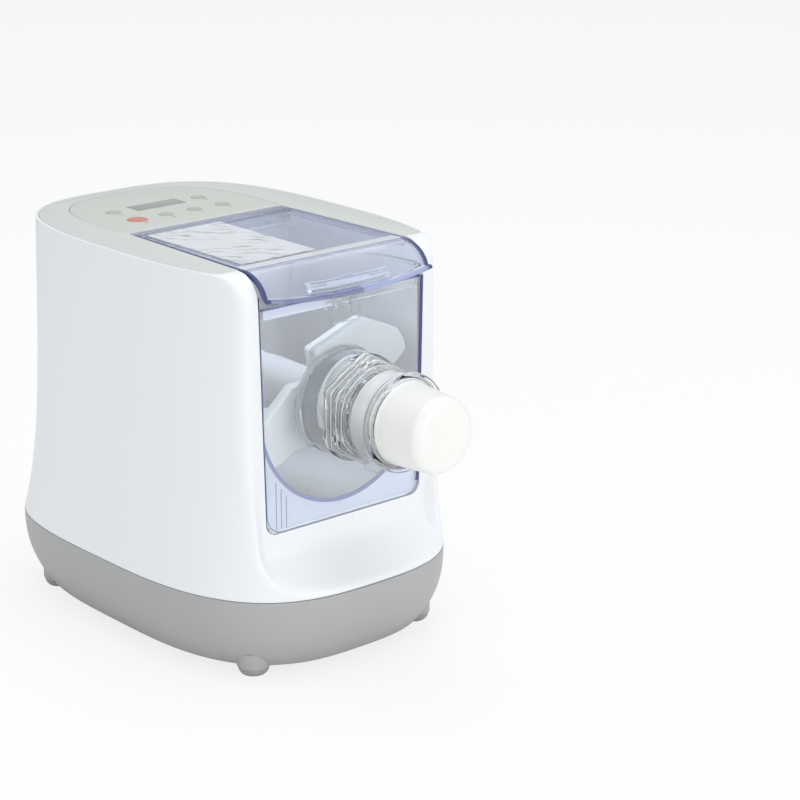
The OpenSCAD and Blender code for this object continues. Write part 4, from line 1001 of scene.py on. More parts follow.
def mixing_bowl():
    """The clear bowl: a deep round trough with a rim along its top and a plate at its front.

    It is solid at first. Rim, plate and four runners below join it, and a smaller trough is cut out.
    """
    bowl = slab("clear_bowl", u_outline(BOWL_R, BOWL_TOP), BOWL_FRONT_Y, BOWL_BACK, upright=True)
    reach = BOWL_R + BOWL_RIM
    rim = slab("rim", rounded(box_outline(-reach, BOWL_FRONT_Y + 5, reach, BOWL_BACK), 1.0),
               BOWL_TOP - BOWL_WALL, BOWL_TOP, 0.4)
    low = LINER_FLOOR + TOUCH
    front = rounded(box_outline(-PLATE_HALF_W, low, PLATE_HALF_W, low + PLATE_H), [3, 3, 0, 0])
    plate = slab("plate", front, BOWL_FRONT_Y, BOWL_FRONT_Y + BOWL_WALL, 0.3, upright=True)
    runners = []
    for x in (-RUNNER_X, RUNNER_X):
        section = box_outline(x - RUNNER_HALF_W, low, x + RUNNER_HALF_W, low + RUNNER_H)
        for start in (BOWL_FRONT_Y + 0.4, BOWL_BACK - RUNNER_L - 0.4):
            runners.append(slab("runner", section, start, start + RUNNER_L, upright=True))
    combine(bowl, [rim, plate, *runners], "UNION")
    seat = turned("seat", post(SEAL_R + 3, BOWL_BACK - SEAL_W - 1, BOWL_BACK - 1), 72)
    hollow = slab("cut", u_outline(BOWL_R - BOWL_WALL, BOWL_TOP + 5), BOWL_FRONT_Y - 1,
                  BOWL_BACK - BOWL_WALL, upright=True)
    combine(bowl, [hollow])
    combine(bowl, [seat], "UNION")
    return combine(bowl, [turned("cut", post(SEAL_R, BOWL_BACK - 12, BOWL_BACK + 5), 72)])


def bowl_painted_edge(centre, normal):
    """The front end of the bowl's wall, painted navy: painted shade along the clear edge."""
    r = np.hypot(centre[:, 0], np.minimum(centre[:, 2] - AXIS_H, 0))
    front = (normal[:, 1] < -0.9) & (centre[:, 1] < BOWL_FRONT_Y + 0.3)
    wall = (r > BOWL_R - BOWL_WALL - 0.2) & (r < BOWL_R + 0.2)
    return front & wall


bowl = paint(mixing_bowl(), clear_plastic, navy_painted_edge_shade)
paint_where(bowl, 1, bowl_painted_edge)
fit(bowl, "housing", "clear_plastic", "mixing_bowl")

# ---- Lid ----

LID_T = 3.0
LID_UNDER = DECK_H - LID_T
BARREL_R = 6.5
PIN_R = 2.0
RUN_GAP = 0.06
SKIRT_D = 4.0
SKIRT_SHARE = 0.957
SKIRT_END = 0.008
LIP_BOW = 4.0
LIP_DROP = 5.0
APRON_A = 26.0
APRON_B = 20.0
APRON_Z = DECK_H - APRON_B
LIP_Y = LID_FRONT_Y - APRON_A
GRIP_D = 2.2
GRIP_SHARE = 0.5
GRIP_END = 0.03
GRIP_TURN = (55.0, 71.0)
GRIP_RAMP = 3.0
GRIP_RIMS = (56.0, 69.0)
GRIP_RIM_HALF = 2.2
GRIP_ENDS = (0.485, 0.018)
GRIP_MIDDLE = (62.0, 8.0)
HINGE_Y = LID_BACK - BARREL_R
HINGE_Z = DECK_H - BARREL_R
MAGNET_R = 2.1
MAGNET_X = 50.0
BAND_Y = LID_FRONT_Y + 5
BAND_HALF_W = 5.0
SIDE_STRIP = 1.9
APRON_STRIP = 2.6
FAR_STRIP = 0.9
FRAME_LINE = [(3, -100), (66, -97), (63, 12), (3, 12)]
FRAME_LINE_W = 1.0


def lid_half(y):
    """Half the lid's width at station y, which grows evenly from its hinge to its lip."""
    share = (LID_BACK - y) / (LID_BACK - LID_FRONT_Y + APRON_A)
    return mix(LID_W, LID_FRONT_W, share) / 2


def lid_section():
    """The lid's section, as rows of station, height and shares of the bow, skirt and grip.

    It runs round the hinge barrel, forward along the underside, down inside the apron, round the
    lip, up the apron's outside and back along the top. The apron is a quarter of an ellipse, and
    its share of the bow is the cube of its angle's sine.
    """
    rows = [(HINGE_Y + BARREL_R * math.cos(a), HINGE_Z + BARREL_R * math.sin(a), 0, 0, 0)
            for a in np.radians(np.linspace(450, 210, 25))]
    back = HINGE_Y - BARREL_R
    rows += [(back + 0.3, LID_UNDER - 1.6, 0, 0, 0), (back - 1.5, LID_UNDER - 0.3, 0, 0, 0)]
    rows += [(y, LID_UNDER, 0, 1, 0)
             for y in (back - 4, back - 5, *np.linspace(back - 10, LID_FRONT_Y + 3, 18))]
    for t in np.radians(np.linspace(0, 75, 22)):
        rows.append((LID_FRONT_Y - (APRON_A - LID_T) * math.sin(t),
                     APRON_Z + (APRON_B - LID_T) * math.cos(t), math.sin(t) ** 3,
                     1 if t == 0 else 0, 0))
    lip = rounded([(LIP_Y + 2.6, DECK_H - 15.2), (LIP_Y + 1.6, DECK_H - 17.6),
                   (LIP_Y - 2.2, DECK_H - 18.5), (LIP_Y - 4.0, DECK_H - 17.4),
                   (LIP_Y - 3.4, DECK_H - 15.4), (LIP_Y + 0.8, DECK_H - 15.0)],
                  [0, 1.0, 1.6, 1.0, 1.2, 0], 5, closed=False)
    rows += [(y, z, 1, 0, 0) for y, z in lip[1:-1]]
    for turn in np.linspace(76, 0, 40):
        t = math.radians(turn)
        grip = smooth_step((GRIP_TURN[1] - turn) / GRIP_RAMP) * smooth_step(
            (turn - GRIP_TURN[0]) / GRIP_RAMP)
        rows.append((LID_FRONT_Y - APRON_A * math.sin(t), APRON_Z + APRON_B * math.cos(t),
                     math.sin(t) ** 3, 0, float(grip)))
    rows += [(y, DECK_H, 0, 0, 0) for y in (LID_FRONT_Y + 2, LID_FRONT_Y + 6, LID_FRONT_Y + 10,
                                            *np.linspace(LID_FRONT_Y + 14, HINGE_Y - 1, 22))]
    return np.array(rows)


def lid():
    """The clear lid: its section carried across from side to side.

    At share s of the half width the lip bows forward and drops by 1 - s squared, the skirt hangs
    only near the sides, and the grip stands out over the middle.
    """
    near_side = np.array([0.966, 0.98, 0.994, 1])
    near_grip = np.array([GRIP_SHARE - GRIP_END, GRIP_SHARE])
    s = np.sort(np.concatenate([np.linspace(-0.955, 0.955, 61), -near_side, near_side, -near_grip,
                                near_grip]))[:, None]
    y, z, bow, skirt, grip = lid_section().T[:, None]
    x = s * lid_half(y)
    arch = 1 - s * s
    held = smooth_step((GRIP_SHARE - np.abs(s)) / GRIP_END)
    hung = smooth_step((np.abs(s) - SKIRT_SHARE) / SKIRT_END)
    rings = np.stack([x, y - bow * LIP_BOW * arch - held * grip * GRIP_D,
                      z - bow * LIP_DROP * arch - hung * skirt * SKIRT_D], 2)
    cover = stack("clear_lid", rings)
    hole = polar(PIN_R + RUN_GAP, full_turn(40)) + (HINGE_Y, HINGE_Z)
    bores = []
    for side in (-1, 1):
        ends = (side * (LID_W / 2 - 12), side * (LID_W / 2 + 4))
        bores.append(stack("cut", [np.insert(hole, 0, x, 1) for x in ends]))
    low = HINGE_Z - BARREL_R
    bores.append(turned_up("cut", post(MAGNET_R, low - 1, low + 4), (MAGNET_X, HINGE_Y), 40))
    return combine(cover, bores, sharp=32.0)


def under_lip(centre, normal):
    """The underside of the lip."""
    return (centre[:, 1] < LIP_Y) & (normal[:, 2] < -0.5)


def lid_painted_dark_edges(centre, normal):
    """The left side's strip along the top, both sides of the apron, and the underside of the lip: painted
    shade in dark navy.
    """
    apron = centre[:, 1] < LID_FRONT_Y + 2
    strip = np.where(apron, APRON_STRIP, np.where(centre[:, 0] < 0, SIDE_STRIP, 0.0))
    near = np.abs(centre[:, 0]) > lid_half(centre[:, 1]) - strip
    return near | (under_lip(centre, normal) & (centre[:, 0] < 10))


def lid_painted_pale_edges(centre, normal):
    """The right side and the rear, painted in a paler blue than the left side: painted shade."""
    side = centre[:, 0] > lid_half(centre[:, 1]) - FAR_STRIP
    rear = (centre[:, 1] > HINGE_Y - 1) & (centre[:, 2] > HINGE_Z)
    return (side & (centre[:, 1] > LID_FRONT_Y + 2)) | rear | under_lip(centre, normal)


def lid_band(centre, normal):
    """A frosted band across the top, just behind the apron."""
    near = np.abs(centre[:, 1] - BAND_Y) < BAND_HALF_W
    between = np.abs(centre[:, 0]) < lid_half(centre[:, 1]) - APRON_STRIP
    return near & between & (normal[:, 2] > 0.9)


def lid_apron(centre, _):
    """The rounded apron in front of the frosted band."""
    return centre[:, 1] < LID_FRONT_Y


def lid_grip(centre, _):
    """The rims and the ends of the grip, by the apron's angle in degrees and the share across."""
    share = np.clip((LID_FRONT_Y - centre[:, 1]) / (APRON_A + 2.5), 0, 1)
    turn = np.degrees(np.arcsin(share))
    across = np.abs(centre[:, 0]) / lid_half(centre[:, 1])
    low, high = (np.abs(turn - rim) < GRIP_RIM_HALF for rim in GRIP_RIMS)
    ends = np.abs(across - GRIP_ENDS[0]) < GRIP_ENDS[1]
    between = np.abs(turn - GRIP_MIDDLE[0]) < GRIP_MIDDLE[1]
    return ((low | high) & (across < GRIP_SHARE + 0.005)) | (ends & between)


def lid_painted_dark_line(centre, _):
    """A thin line below the frosted band, painted dark: painted shade."""
    return np.abs(centre[:, 1] - (LID_FRONT_Y - 1.2)) < 0.9


# The lid's edge strips and its thin line are painted shade, darker at the left and paler at the right and
# the rear.
cover = paint(lid(), lid_clear, navy_painted_edge_shade, frost_clear, blue_painted_edge_shade, apron_clear, grip_pale)
# A later mask paints over an earlier one.
for index, chosen in ((4, lid_apron), (5, lid_grip), (3, lid_painted_dark_line), (3, lid_painted_pale_edges),
                      (2, lid_band), (1, lid_painted_dark_edges)):
    paint_where(cover, index, chosen)
fit(cover, "lid_body", "clear_plastic", "lid")


def lid_frame():
    """A thin line round the lid's clear half, on its underside, painted in the edges' blue: painted
    shade.
    """
    outline = rounded(FRAME_LINE, 3.0)
    low, high = LID_UNDER - 0.5, LID_UNDER - 0.03
    line = slab("lid_frame_line", outline, low, high)
    combine(line, [slab("cut", inset(outline, FRAME_LINE_W), low - 1, high + 1)])
    fit(paint(line, blue_painted_edge_shade), "lid_body", "clear_plastic")


lid_frame()

# ---- Front panel ----

PANEL_TOP = DECK_H - 25
COLLAR_R = 39.0
COLLAR_WALL = 3.0
COLLAR_FRONT_Y = PANEL_Y - 21.0
COLLAR_INSIDE = 6.5
COLLAR_BACK_Y = PANEL_BACK_Y + COLLAR_INSIDE
TUBE_BORE_R = 27.0
TUBE_R = 29.6
TUBE_BACK_Y = COLLAR_FRONT_Y + 1.5
THREAD_D = 1.6
THREAD_PITCH = 3.6
THREAD_FADE = 1.5
RIDGE_SHARE, RIDGE_RAMP = 0.30, 0.16
GRIP_L = 21.0
GRIP_FRONT_Y = COLLAR_FRONT_Y - GRIP_L
TUBE_END_Y = GRIP_FRONT_Y - 1
BAND_REACH = 70.0
LATCH_X = (-8.0, 16.0)
LATCH_Z = (PANEL_TOP - 22, PANEL_TOP - 2)
LATCH_CUT_X = (4.0, 10.0)
LATCH_CUT_Z = (PANEL_TOP - 16, PANEL_TOP - 8)


def threaded_tube():
    """The auger tube: a wall whose outside carries a helical thread.

    The radius at angle a and station y is the tube's, plus a ridge where the fraction of
    y / pitch + a / one turn is near a half. The thread fades out at both ends.
    """
    a = full_turn(160)
    y = np.linspace(TUBE_BACK_Y, TUBE_END_Y, 150)[:, None]
    phase = (y / THREAD_PITCH + a / (2 * np.pi)) % 1.0
    ridge = smooth_step((RIDGE_SHARE - np.abs(phase - 0.5)) / RIDGE_RAMP)
    fade = (smooth_step((COLLAR_FRONT_Y - 1 - y) / THREAD_FADE)
            * smooth_step((y - TUBE_END_Y) / THREAD_FADE))
    outer = round_axis(TUBE_R + THREAD_D * ridge * fade, a, y)
    bore = round_axis(TUBE_BORE_R, a, np.array([[TUBE_END_Y], [TUBE_BACK_Y]]))
    return stack("tube", np.concatenate([outer, bore]), wrap=True)


def front_panel():
    """The clear front: a plate that fills the window, a band and a latch behind it, and the collar.

    The collar is a turned cup. Its room and its mouth are cut out, and the threaded tube joins it.
    """
    plate = slab("clear_front", window_outline(SEAM_GAP, PANEL_TOP), PANEL_Y, PANEL_BACK_Y, 0.5,
                 upright=True)
    behind = PANEL_BACK_Y - 0.5
    band = slab("band", rounded(box_outline(-BAND_REACH, PANEL_TOP - 8, BAND_REACH, PANEL_TOP - 0.3),
                                1.0), behind, PANEL_BACK_Y + 3, 0.4, upright=True)
    latch = slab("latch", rounded(box_outline(LATCH_X[0], LATCH_Z[0], LATCH_X[1], LATCH_Z[1]), 1.5),
                 behind, PANEL_BACK_Y + 2.5, 0.4, upright=True)
    collar = turned("collar", rounded(post(COLLAR_R, COLLAR_FRONT_Y, COLLAR_BACK_Y),
                                      [0, 2.2, 0.8, 0], closed=False), 160)
    combine(plate, [band, latch, collar], "UNION")
    room = post(COLLAR_R - COLLAR_WALL, COLLAR_FRONT_Y + COLLAR_WALL, COLLAR_BACK_Y + 1)
    combine(plate, [turned("cut", rounded(room, [0, 1.4, 0, 0], closed=False), 160)])
    combine(plate, [turned("cut", post(TUBE_BORE_R, COLLAR_FRONT_Y - 1, COLLAR_FRONT_Y + 5), 160)])
    combine(plate, [threaded_tube()], "UNION")
    eye = rounded(box_outline(LATCH_CUT_X[0], LATCH_CUT_Z[0], LATCH_CUT_X[1], LATCH_CUT_Z[1]), 1.0)
    return combine(plate, [slab("cut", eye, PANEL_BACK_Y + 0.5, PANEL_BACK_Y + 10, upright=True)])


def panel_painted_edges(centre, normal):
    """The plate's own narrow edges, painted navy: painted shade along the clear edge."""
    inside = (centre[:, 1] > PANEL_Y - 0.1) & (centre[:, 1] < PANEL_BACK_Y + 0.1)
    out = np.hypot(centre[:, 0], centre[:, 2] - AXIS_H) > COLLAR_R + 4
    return inside & out & (np.abs(normal[:, 1]) < 0.5)


def panel_face(centre, normal):
    """The plate's front face, which is a little hazy."""
    return (np.abs(centre[:, 1] - PANEL_Y) < 0.1) & (normal[:, 1] < -0.9)


clear_front = paint(front_panel(), clear_plastic, navy_painted_edge_shade, panel_haze)
paint_where(clear_front, 1, panel_painted_edges)
paint_where(clear_front, 2, panel_face)
fit(clear_front, "panel_body", "clear_plastic", "front_panel")

# ---- Lines, flanges and catch behind the window ----

HAIR = 0.05
WINDOW_LINE = (0.55, 0.5)
SIDE_LINE_W = 2.7
SIDE_LINE_LOW = 114.0
RIM_LINE = (BOWL_R - 2.7, BOWL_R + 0.2)
FLANGE_RIBS_X = (-61.0, -56.5, -52.0)
FLANGE_RIB_LOW = 107.5
FLANGE_RIB_TOP = 143.0
FLANGE_RIB_STEP = 6.0
FLANGE_RIB_W = 0.7
CATCH_TOP = PANEL_TOP - 1.2
CATCH_H = 7.5
CATCH_X = (-72.0, -8.0)
CATCH_Y = PANEL_BACK_Y + 3.02
HOOKS_X = (-10.0, -1.0, 12.0)


def frame_band(name, outline, side, end, y0, y1):
    """A thin frame along an outline: its inner edge is the outline shrunk by a share of its size.

    The shares are such that it draws in by side at the left and right, and by end above and below.
    """
    p = np.asarray(outline, float)
    low, high = p.min(0), p.max(0)
    step = np.array([side, end])
    inner = mix(low + step, high - step, (p - low) / (high - low))
    rings = [stood(p, y0), stood(p, y1), stood(inner, y1), stood(inner, y0)]
    return stack(name, rings, wrap=True, sharp=30.0)


def trim(name, outline, y0, y1, material, body):
    """A thin flat piece that stands across the machine, in its material, on its body."""
    fit(paint(slab(name, outline, y0, y1, upright=True), material), body, "clear_plastic")


def window_details():
    """What shows at the window's edges: a dark edge, the bowl's rim line, flanges and the catch. The dark
    edge, the strip at its right, the rim line, the flange's thin lines and the hooks are painted shade
    along the clear parts' edges.

    Each is a flat outline with a small thickness, a hair off the piece that it lies on.
    """
    edge = window_outline(SEAM_GAP + 0.3, PANEL_TOP - 0.1, 14.0)
    line = frame_band("window_line", edge, *WINDOW_LINE, PANEL_Y - HAIR, PANEL_Y + 0.4)
    fit(paint(line, blue_painted_edge_shade), "panel_body", "clear_plastic")
    # A navy strip at the window's right side only: painted shade.
    right = edge[(edge[:, 0] > edge[:, 0].max() - 4.5) & (edge[:, 1] > SIDE_LINE_LOW)]
    trim("window_side", np.concatenate([right, right[::-1] - (SIDE_LINE_W, 0)]), PANEL_Y - 0.06,
         PANEL_Y + 0.5, navy_painted_edge_shade, "panel_body")
    trim("bowl_rim_line", arc_band(*RIM_LINE, 186, 354, 120) + (0, AXIS_H), BOWL_FRONT_Y - 0.5,
         BOWL_FRONT_Y - HAIR, painted_shade_line_blue, "housing")
    flange = slab("bowl_flange", window_outline(2.2, AXIS_H - 22), BOWL_FRONT_Y - 0.6,
                  BOWL_FRONT_Y - 0.1, upright=True)
    opening = turned("cut", post(BOWL_R + 0.3, BOWL_FRONT_Y - 2, BOWL_FRONT_Y + 2), 192)
    fit(paint(combine(flange, [opening]), flange_pale), "housing", "clear_plastic")
    for i, x in enumerate(FLANGE_RIBS_X):
        rib = box_outline(x - FLANGE_RIB_W / 2, FLANGE_RIB_LOW, x + FLANGE_RIB_W / 2,
                          FLANGE_RIB_TOP - i * FLANGE_RIB_STEP)
        trim(f"flange_rib_{i}", rib, BOWL_FRONT_Y - 0.75, BOWL_FRONT_Y - HAIR, painted_shade_line_blue, "housing")
    shelf = rounded(box_outline(CATCH_X[0], CATCH_TOP - CATCH_H, CATCH_X[1], CATCH_TOP), 1.2)
    trim("catch_band", shelf, CATCH_Y, PANEL_BACK_Y + 3.4, flange_pale, "panel_body")
    for i, x in enumerate(HOOKS_X):
        trim(f"catch_hook_{i}", arc_band(2.5, 3.5, 20, 250) + (x, CATCH_TOP - 7), CATCH_Y,
             PANEL_BACK_Y + 3.5, navy_painted_edge_shade if i == 2 else painted_shade_line_grey, "panel_body")


window_details()

# ---- Die nut and die cap ----

NUT_BACK_R = 42.0
NUT_SMOOTH_R = 33.4
NUT_SLOPE = 0.5
NUT_RING_R = 35.8
NUT_RING_W = 4.0
NUT_POINTS = 192
NUT_BACK_Y = COLLAR_FRONT_Y - 0.5
NUT_BORE_R = TUBE_R + THREAD_D + MOVE_GAP
HEX_END, HEX_POWER = 0.96, 0.8
GROOVE_D = 0.45
GROOVES = 8
GROOVE_SHARE, GROOVE_RAMP = 0.28, 0.2
GROOVE_END = 0.93
NUT_LINE_PLACES = (0.0, 0.1, 0.2, 0.31, 0.42, 0.54, 0.66, 0.78, 0.9)
NUT_LINE_W = 0.45
SLEEVE_LINE_W = 0.7
NUT_LINE_IN, NUT_LINE_OUT = 0.6, 0.1
SMOOTH_FRONT_Y = GRIP_FRONT_Y - 22.0
NUT_FRONT_Y = SMOOTH_FRONT_Y - NUT_RING_W
CAP_FRONT_Y = NUT_FRONT_Y - 40.0
CAP_R = 29.9
CAP_FRONT_R = 27.8
CAP_ROUND = 8.0
CAP_WALL = 4.5
FLANGE_R = NUT_SMOOTH_R - 1.9
WASHER_T = 1.2
OUTLET_R = 1.7
OUTLET_ROWS = 4
OUTLET_ROW_PITCH = 5.4
OUTLETS_PER_ROW = 5
OUTLET_PITCH = 6.4


def nut_hexagon():
    """Angles round the nut and its hexagon's radius at each: the flat over cos(angle from its middle)."""
    a = full_turn(NUT_POINTS)
    off = (a - np.pi / 2) % (np.pi / 3) - np.pi / 6
    flat = NUT_BACK_R * math.cos(np.pi / 6)
    return a, np.minimum(flat / np.cos(off), NUT_BACK_R - 0.9)


def hex_share(s):
    """The hexagon's share of the radius, s of the way from the nut's back to its sleeve.

    It is a power of 1 less the smooth step of s, so that the ridges stay wide and melt late.
    """
    return float((1 - smooth_step(s * HEX_END)) ** HEX_POWER)


def die_nut():
    """The clear nut: six ridges at its back that melt into a smooth sleeve, and a ring in front.

    At angle a the hexagon's radius is its flat over cos(angle from the flat's middle), limited to a
    round. A share that falls from 1 at the back to 0 at the sleeve mixes it with the circle.
    """
    a, hexagon = nut_hexagon()
    back, shoulder = NUT_BACK_Y, NUT_SMOOTH_R + NUT_SLOPE
    path = [(NUT_BORE_R, back, 0.0), (NUT_BORE_R + 1, back, 0.15), (shoulder, back, 0.75),
            (shoulder, back - 0.25, 0.93), (shoulder, back - 1, 1.0)]
    for s in np.linspace(0.05, 1, 96):
        groove = smooth_step((abs(s * GROOVES % 1.0 - 0.5) - GROOVE_SHARE) / GROOVE_RAMP)
        r = NUT_SMOOTH_R + NUT_SLOPE * (1 - s) - GROOVE_D * groove * (s < GROOVE_END)
        path.append((r, mix(back - 1, GRIP_FRONT_Y, s), hex_share(s)))
    path += [(NUT_SMOOTH_R, y, 0.0) for y in np.linspace(GRIP_FRONT_Y - 1, SMOOTH_FRONT_Y + 0.6, 6)]
    ring = rounded([(NUT_SMOOTH_R, SMOOTH_FRONT_Y + 0.5), (NUT_SMOOTH_R + 0.2, SMOOTH_FRONT_Y),
                    (NUT_RING_R, SMOOTH_FRONT_Y), (NUT_RING_R, NUT_FRONT_Y),
                    (CAP_R + FIT_GAP, NUT_FRONT_Y), (CAP_R + FIT_GAP, SMOOTH_FRONT_Y),
                    (FLANGE_R + FIT_GAP, SMOOTH_FRONT_Y), (FLANGE_R + FIT_GAP, TUBE_END_Y)],
                   [0, 0.2, 1.4, 1.6, 0.5, 0.1, 0.1, 0], 5, closed=False)
    path += [(r, y, 0.0) for r, y in ring[1:]]
    path += [(NUT_BORE_R, y, 0.0)
             for y in (TUBE_END_Y + 0.05, *np.linspace(TUBE_END_Y + 1, back - 0.5, 8))]
    r, y, share = np.array(path).T[:, :, None]
    return stack("clear_nut", round_axis(mix(r, hexagon, share), a, y), wrap=True, sharp=32.0)


def nut_lines():
    """Fine rings that follow the nut's outside: over its ridges, and round its sleeve. Dark rings are
    painted shade and pale ones painted highlights.
    """
    a, hexagon = nut_hexagon()
    # Every other ring over the ridges is painted dark (painted shade) and the rest pale (painted
    # highlight); the sleeve's two are painted shade.
    rings = [(mix(NUT_SMOOTH_R + NUT_SLOPE * (1 - s), hexagon, hex_share(s)),
              mix(NUT_BACK_Y - 1, GRIP_FRONT_Y, s), NUT_LINE_W,
              painted_shade_line_grey if i % 2 == 0 else food_white) for i, s in enumerate(NUT_LINE_PLACES)]
    rings += [(NUT_SMOOTH_R, SMOOTH_FRONT_Y + gap, SLEEVE_LINE_W, painted_shade_line_grey) for gap in (0.9, 3.4)]
    for i, (r, y, w, material) in enumerate(rings):
        inner, outer = r - NUT_LINE_IN, r + NUT_LINE_OUT
        rows = [(inner, y), (outer, y), (outer, y + w), (inner, y + w)]
        ring = stack(f"nut_line_{i}", [round_axis(q, a, at) for q, at in rows], wrap=True, sharp=40.0)
        fit(paint(ring, material), "nut_body", "clear_plastic")


def die_cap():
    """The white cap: a cup with a rounded nose, held by its flange, with rows of outlets below.

    It is one turned profile: out along the flange, forward, round the nose's quarter circle, in
    to the axis and back inside.
    """
    nose = [(CAP_FRONT_R - CAP_ROUND * (1 - math.cos(t)), CAP_FRONT_Y + CAP_ROUND * (1 - math.sin(t)))
            for t in np.linspace(0, np.pi / 2, 14)]
    back = TUBE_END_Y - WASHER_T - TOUCH
    inner = TUBE_BORE_R - 2
    outside = [(inner, back), (FLANGE_R - 0.4, back), (FLANGE_R, back - 0.4),
               (FLANGE_R, SMOOTH_FRONT_Y + 0.4), (FLANGE_R - 0.3, SMOOTH_FRONT_Y + 0.1),
               (CAP_R, SMOOTH_FRONT_Y + 0.1), (CAP_R, NUT_FRONT_Y + 0.5), (CAP_R - 0.02, NUT_FRONT_Y)]
    tip = CAP_FRONT_Y + CAP_WALL
    face = [(r, CAP_FRONT_Y) for r in np.linspace(CAP_FRONT_R - CAP_ROUND - 2, 0, 7)]
    inside = [(0, tip), (CAP_FRONT_R - CAP_WALL - 6, tip), (CAP_FRONT_R - CAP_WALL, tip + 6),
              (inner, NUT_FRONT_Y)]
    cup = turned("die_cup", outside + nose + face + inside, 160, closed=True)
    outlet = post(OUTLET_R, AXIS_H - 40, AXIS_H - 10)
    holes = [turned_up("cut", outlet, ((j - (OUTLETS_PER_ROW - 1) / 2) * OUTLET_PITCH,
                                       CAP_FRONT_Y + 12 + i * OUTLET_ROW_PITCH), 24)
             for i in range(OUTLET_ROWS) for j in range(OUTLETS_PER_ROW)]
    return combine(cup, holes, sharp=28.0)


def cap_flange(centre, _):
    """The cap's flange, inside the nut."""
    return centre[:, 1] > NUT_FRONT_Y + 0.2


fit(paint(die_nut(), clear_smooth), "nut_body", "clear_plastic", "die_nut")
nut_lines()
cup = paint(die_cap(), food_white, flange_grey)
paint_where(cup, 1, cap_flange)
fit(cup, "die_body", "food_white", "die_cap")

# ---- Paddle and auger ----

ARM_Y = COLLAR_BACK_Y + 1.6
BLADE_T = 9.0
BLADE_REACH = 69.0
BLADE_FRONT_Y = PANEL_BACK_Y + 3.6
BLADE_STEP = 10.0
ARM_TURNS = (112.0, 292.0)
ARM_HALF_W = 7.0
ARM_END_HALF_W = 13.0
ARM_END_L = 20.0
HUB_R = 15.0
HUB_BACK_Y = BOWL_BACK - SEAL_W - 3
SQUARE_W = 8.0
DRUM_R = COLLAR_R - COLLAR_WALL - 1.6
DRUM_BACK_Y = ARM_Y - 2.8
DRUM_FRONT_Y = COLLAR_FRONT_Y + COLLAR_WALL
CORE_R = 17.0
CORE_TIP_R = 12.0
FLIGHT_PITCH = 24.0
FLIGHT_SHARE, FLIGHT_RAMP = 0.11, 0.05
BLADE_A = [(-22, 40), (-6, 45.5), (20, 55), (24, 56), (55, 43), (61.5, 35), (64, 25.6), (57, 19), (38, 8),
           (10, -6), (-14, 4)]
BLADE_B = [(10, -8), (-12, -34), (-28, -36), (-43, -43.5), (-49, -45), (-56, -36), (-60, -22),
           (-57, -12), (-30, 12), (0, 14)]


def blade(name, points, y0, y1, corner=4.0, radius=2.0):
    """A thick blade with rounded corners and edges, its outline drawn from the drive axis."""
    outline = rounded(points, corner) + (0, AXIS_H)
    return slab(name, outline, y0, y1, radius, upright=True)


def mixing_paddle():
    """The white paddle: a hub, two blades at the front and two arms at the back.

    An arm's points, drawn along x, are turned about the axis: x cos - z sin and x sin + z cos.
    """
    hub = turned("paddle_arms", rounded(post(HUB_R, ARM_Y, HUB_BACK_Y), [0, 1.5, 2.0, 0],
                                        closed=False), 96)
    parts = [blade("a", BLADE_A, ARM_Y, ARM_Y + BLADE_T),
             blade("b", BLADE_B, ARM_Y + BLADE_STEP, ARM_Y + BLADE_STEP + BLADE_T)]
    tip = BLADE_REACH - 4
    neck = tip - ARM_END_L
    arm = np.array([(0, -ARM_HALF_W), (neck, -ARM_HALF_W), (neck, -ARM_END_HALF_W),
                    (tip, -ARM_END_HALF_W), (tip, ARM_END_HALF_W), (neck, ARM_END_HALF_W),
                    (neck, ARM_HALF_W), (0, ARM_HALF_W)])
    back = HUB_BACK_Y - 6
    for turn in np.radians(ARM_TURNS):
        c, s = math.cos(turn), math.sin(turn)
        turned_arm = arm @ np.array([(c, s), (-s, c)])
        parts.append(blade("arm", turned_arm, back - BLADE_T, back, 2.5, 1.5))
    combine(hub, parts, "UNION")
    lip = blade("lip", BLADE_A, BLADE_FRONT_Y, ARM_Y + 2)
    combine(lip, [turned("cut", post(COLLAR_R + 1.6, BLADE_FRONT_Y - 5, ARM_Y + 5))])
    combine(hub, [lip], "UNION")
    half = SQUARE_W / 2 + 0.1
    square = slab("cut", box_outline(-half, AXIS_H - half, half, AXIS_H + half), HUB_BACK_Y - 26,
                  HUB_BACK_Y + 5, upright=True)
    pin_hole = turned("cut", post(SQUARE_W / 2, ARM_Y - 5, ARM_Y + 6), 48)
    return combine(hub, [square, pin_hole])


def auger():
    """The auger: a core with a helical flight, wide in the collar and slim in the tube.

    The radius at angle a and station y is the core's, plus the flight's height where the fraction
    of y / pitch + a / one turn is near a half. A full plate closes it at the back.
    """
    y = np.concatenate([np.linspace(ARM_Y - 0.2, DRUM_FRONT_Y + 1.2, 70),
                        np.linspace(DRUM_FRONT_Y + 1, TUBE_END_Y + 1.2, 70)])[:, None]
    a = full_turn(128)
    wide = y > DRUM_FRONT_Y + 1.1
    reach = np.where(wide, DRUM_R, TUBE_BORE_R - MOVE_GAP)
    along = clamp01((DRUM_FRONT_Y - y) / (DRUM_FRONT_Y - TUBE_END_Y))
    core = np.where(wide, CORE_R, mix(CORE_R, CORE_TIP_R, along))
    phase = (y / FLIGHT_PITCH + a / (2 * np.pi)) % 1.0
    flight = smooth_step((FLIGHT_SHARE - np.abs(phase - 0.5)) / FLIGHT_RAMP)
    plate = smooth_step((y - DRUM_BACK_Y) / 0.4)
    return stack("auger_flight", round_axis(core + (reach - core) * np.maximum(flight, plate), a, y),
                 sharp=50.0)


def paddle_painted_shade_faces(centre, _):
    """The paddle's front faces, which are painted darker than the rest: painted shade."""
    return centre[:, 1] < ARM_Y + 3


# Its front faces take the darker grey: painted shade.
paddle = paint(mixing_paddle(), paddle_white, paddle_front_painted_shade)
paint_where(paddle, 1, paddle_painted_shade_faces)
fit(paddle, "drive_body", "food_white", "mixing_paddle")
# The auger takes the painted shade grey.
fit(paint(auger(), auger_painted_shade_grey), "drive_body", "food_white", "auger_screw")

# ---- Finishes of the carried-over nodes ----

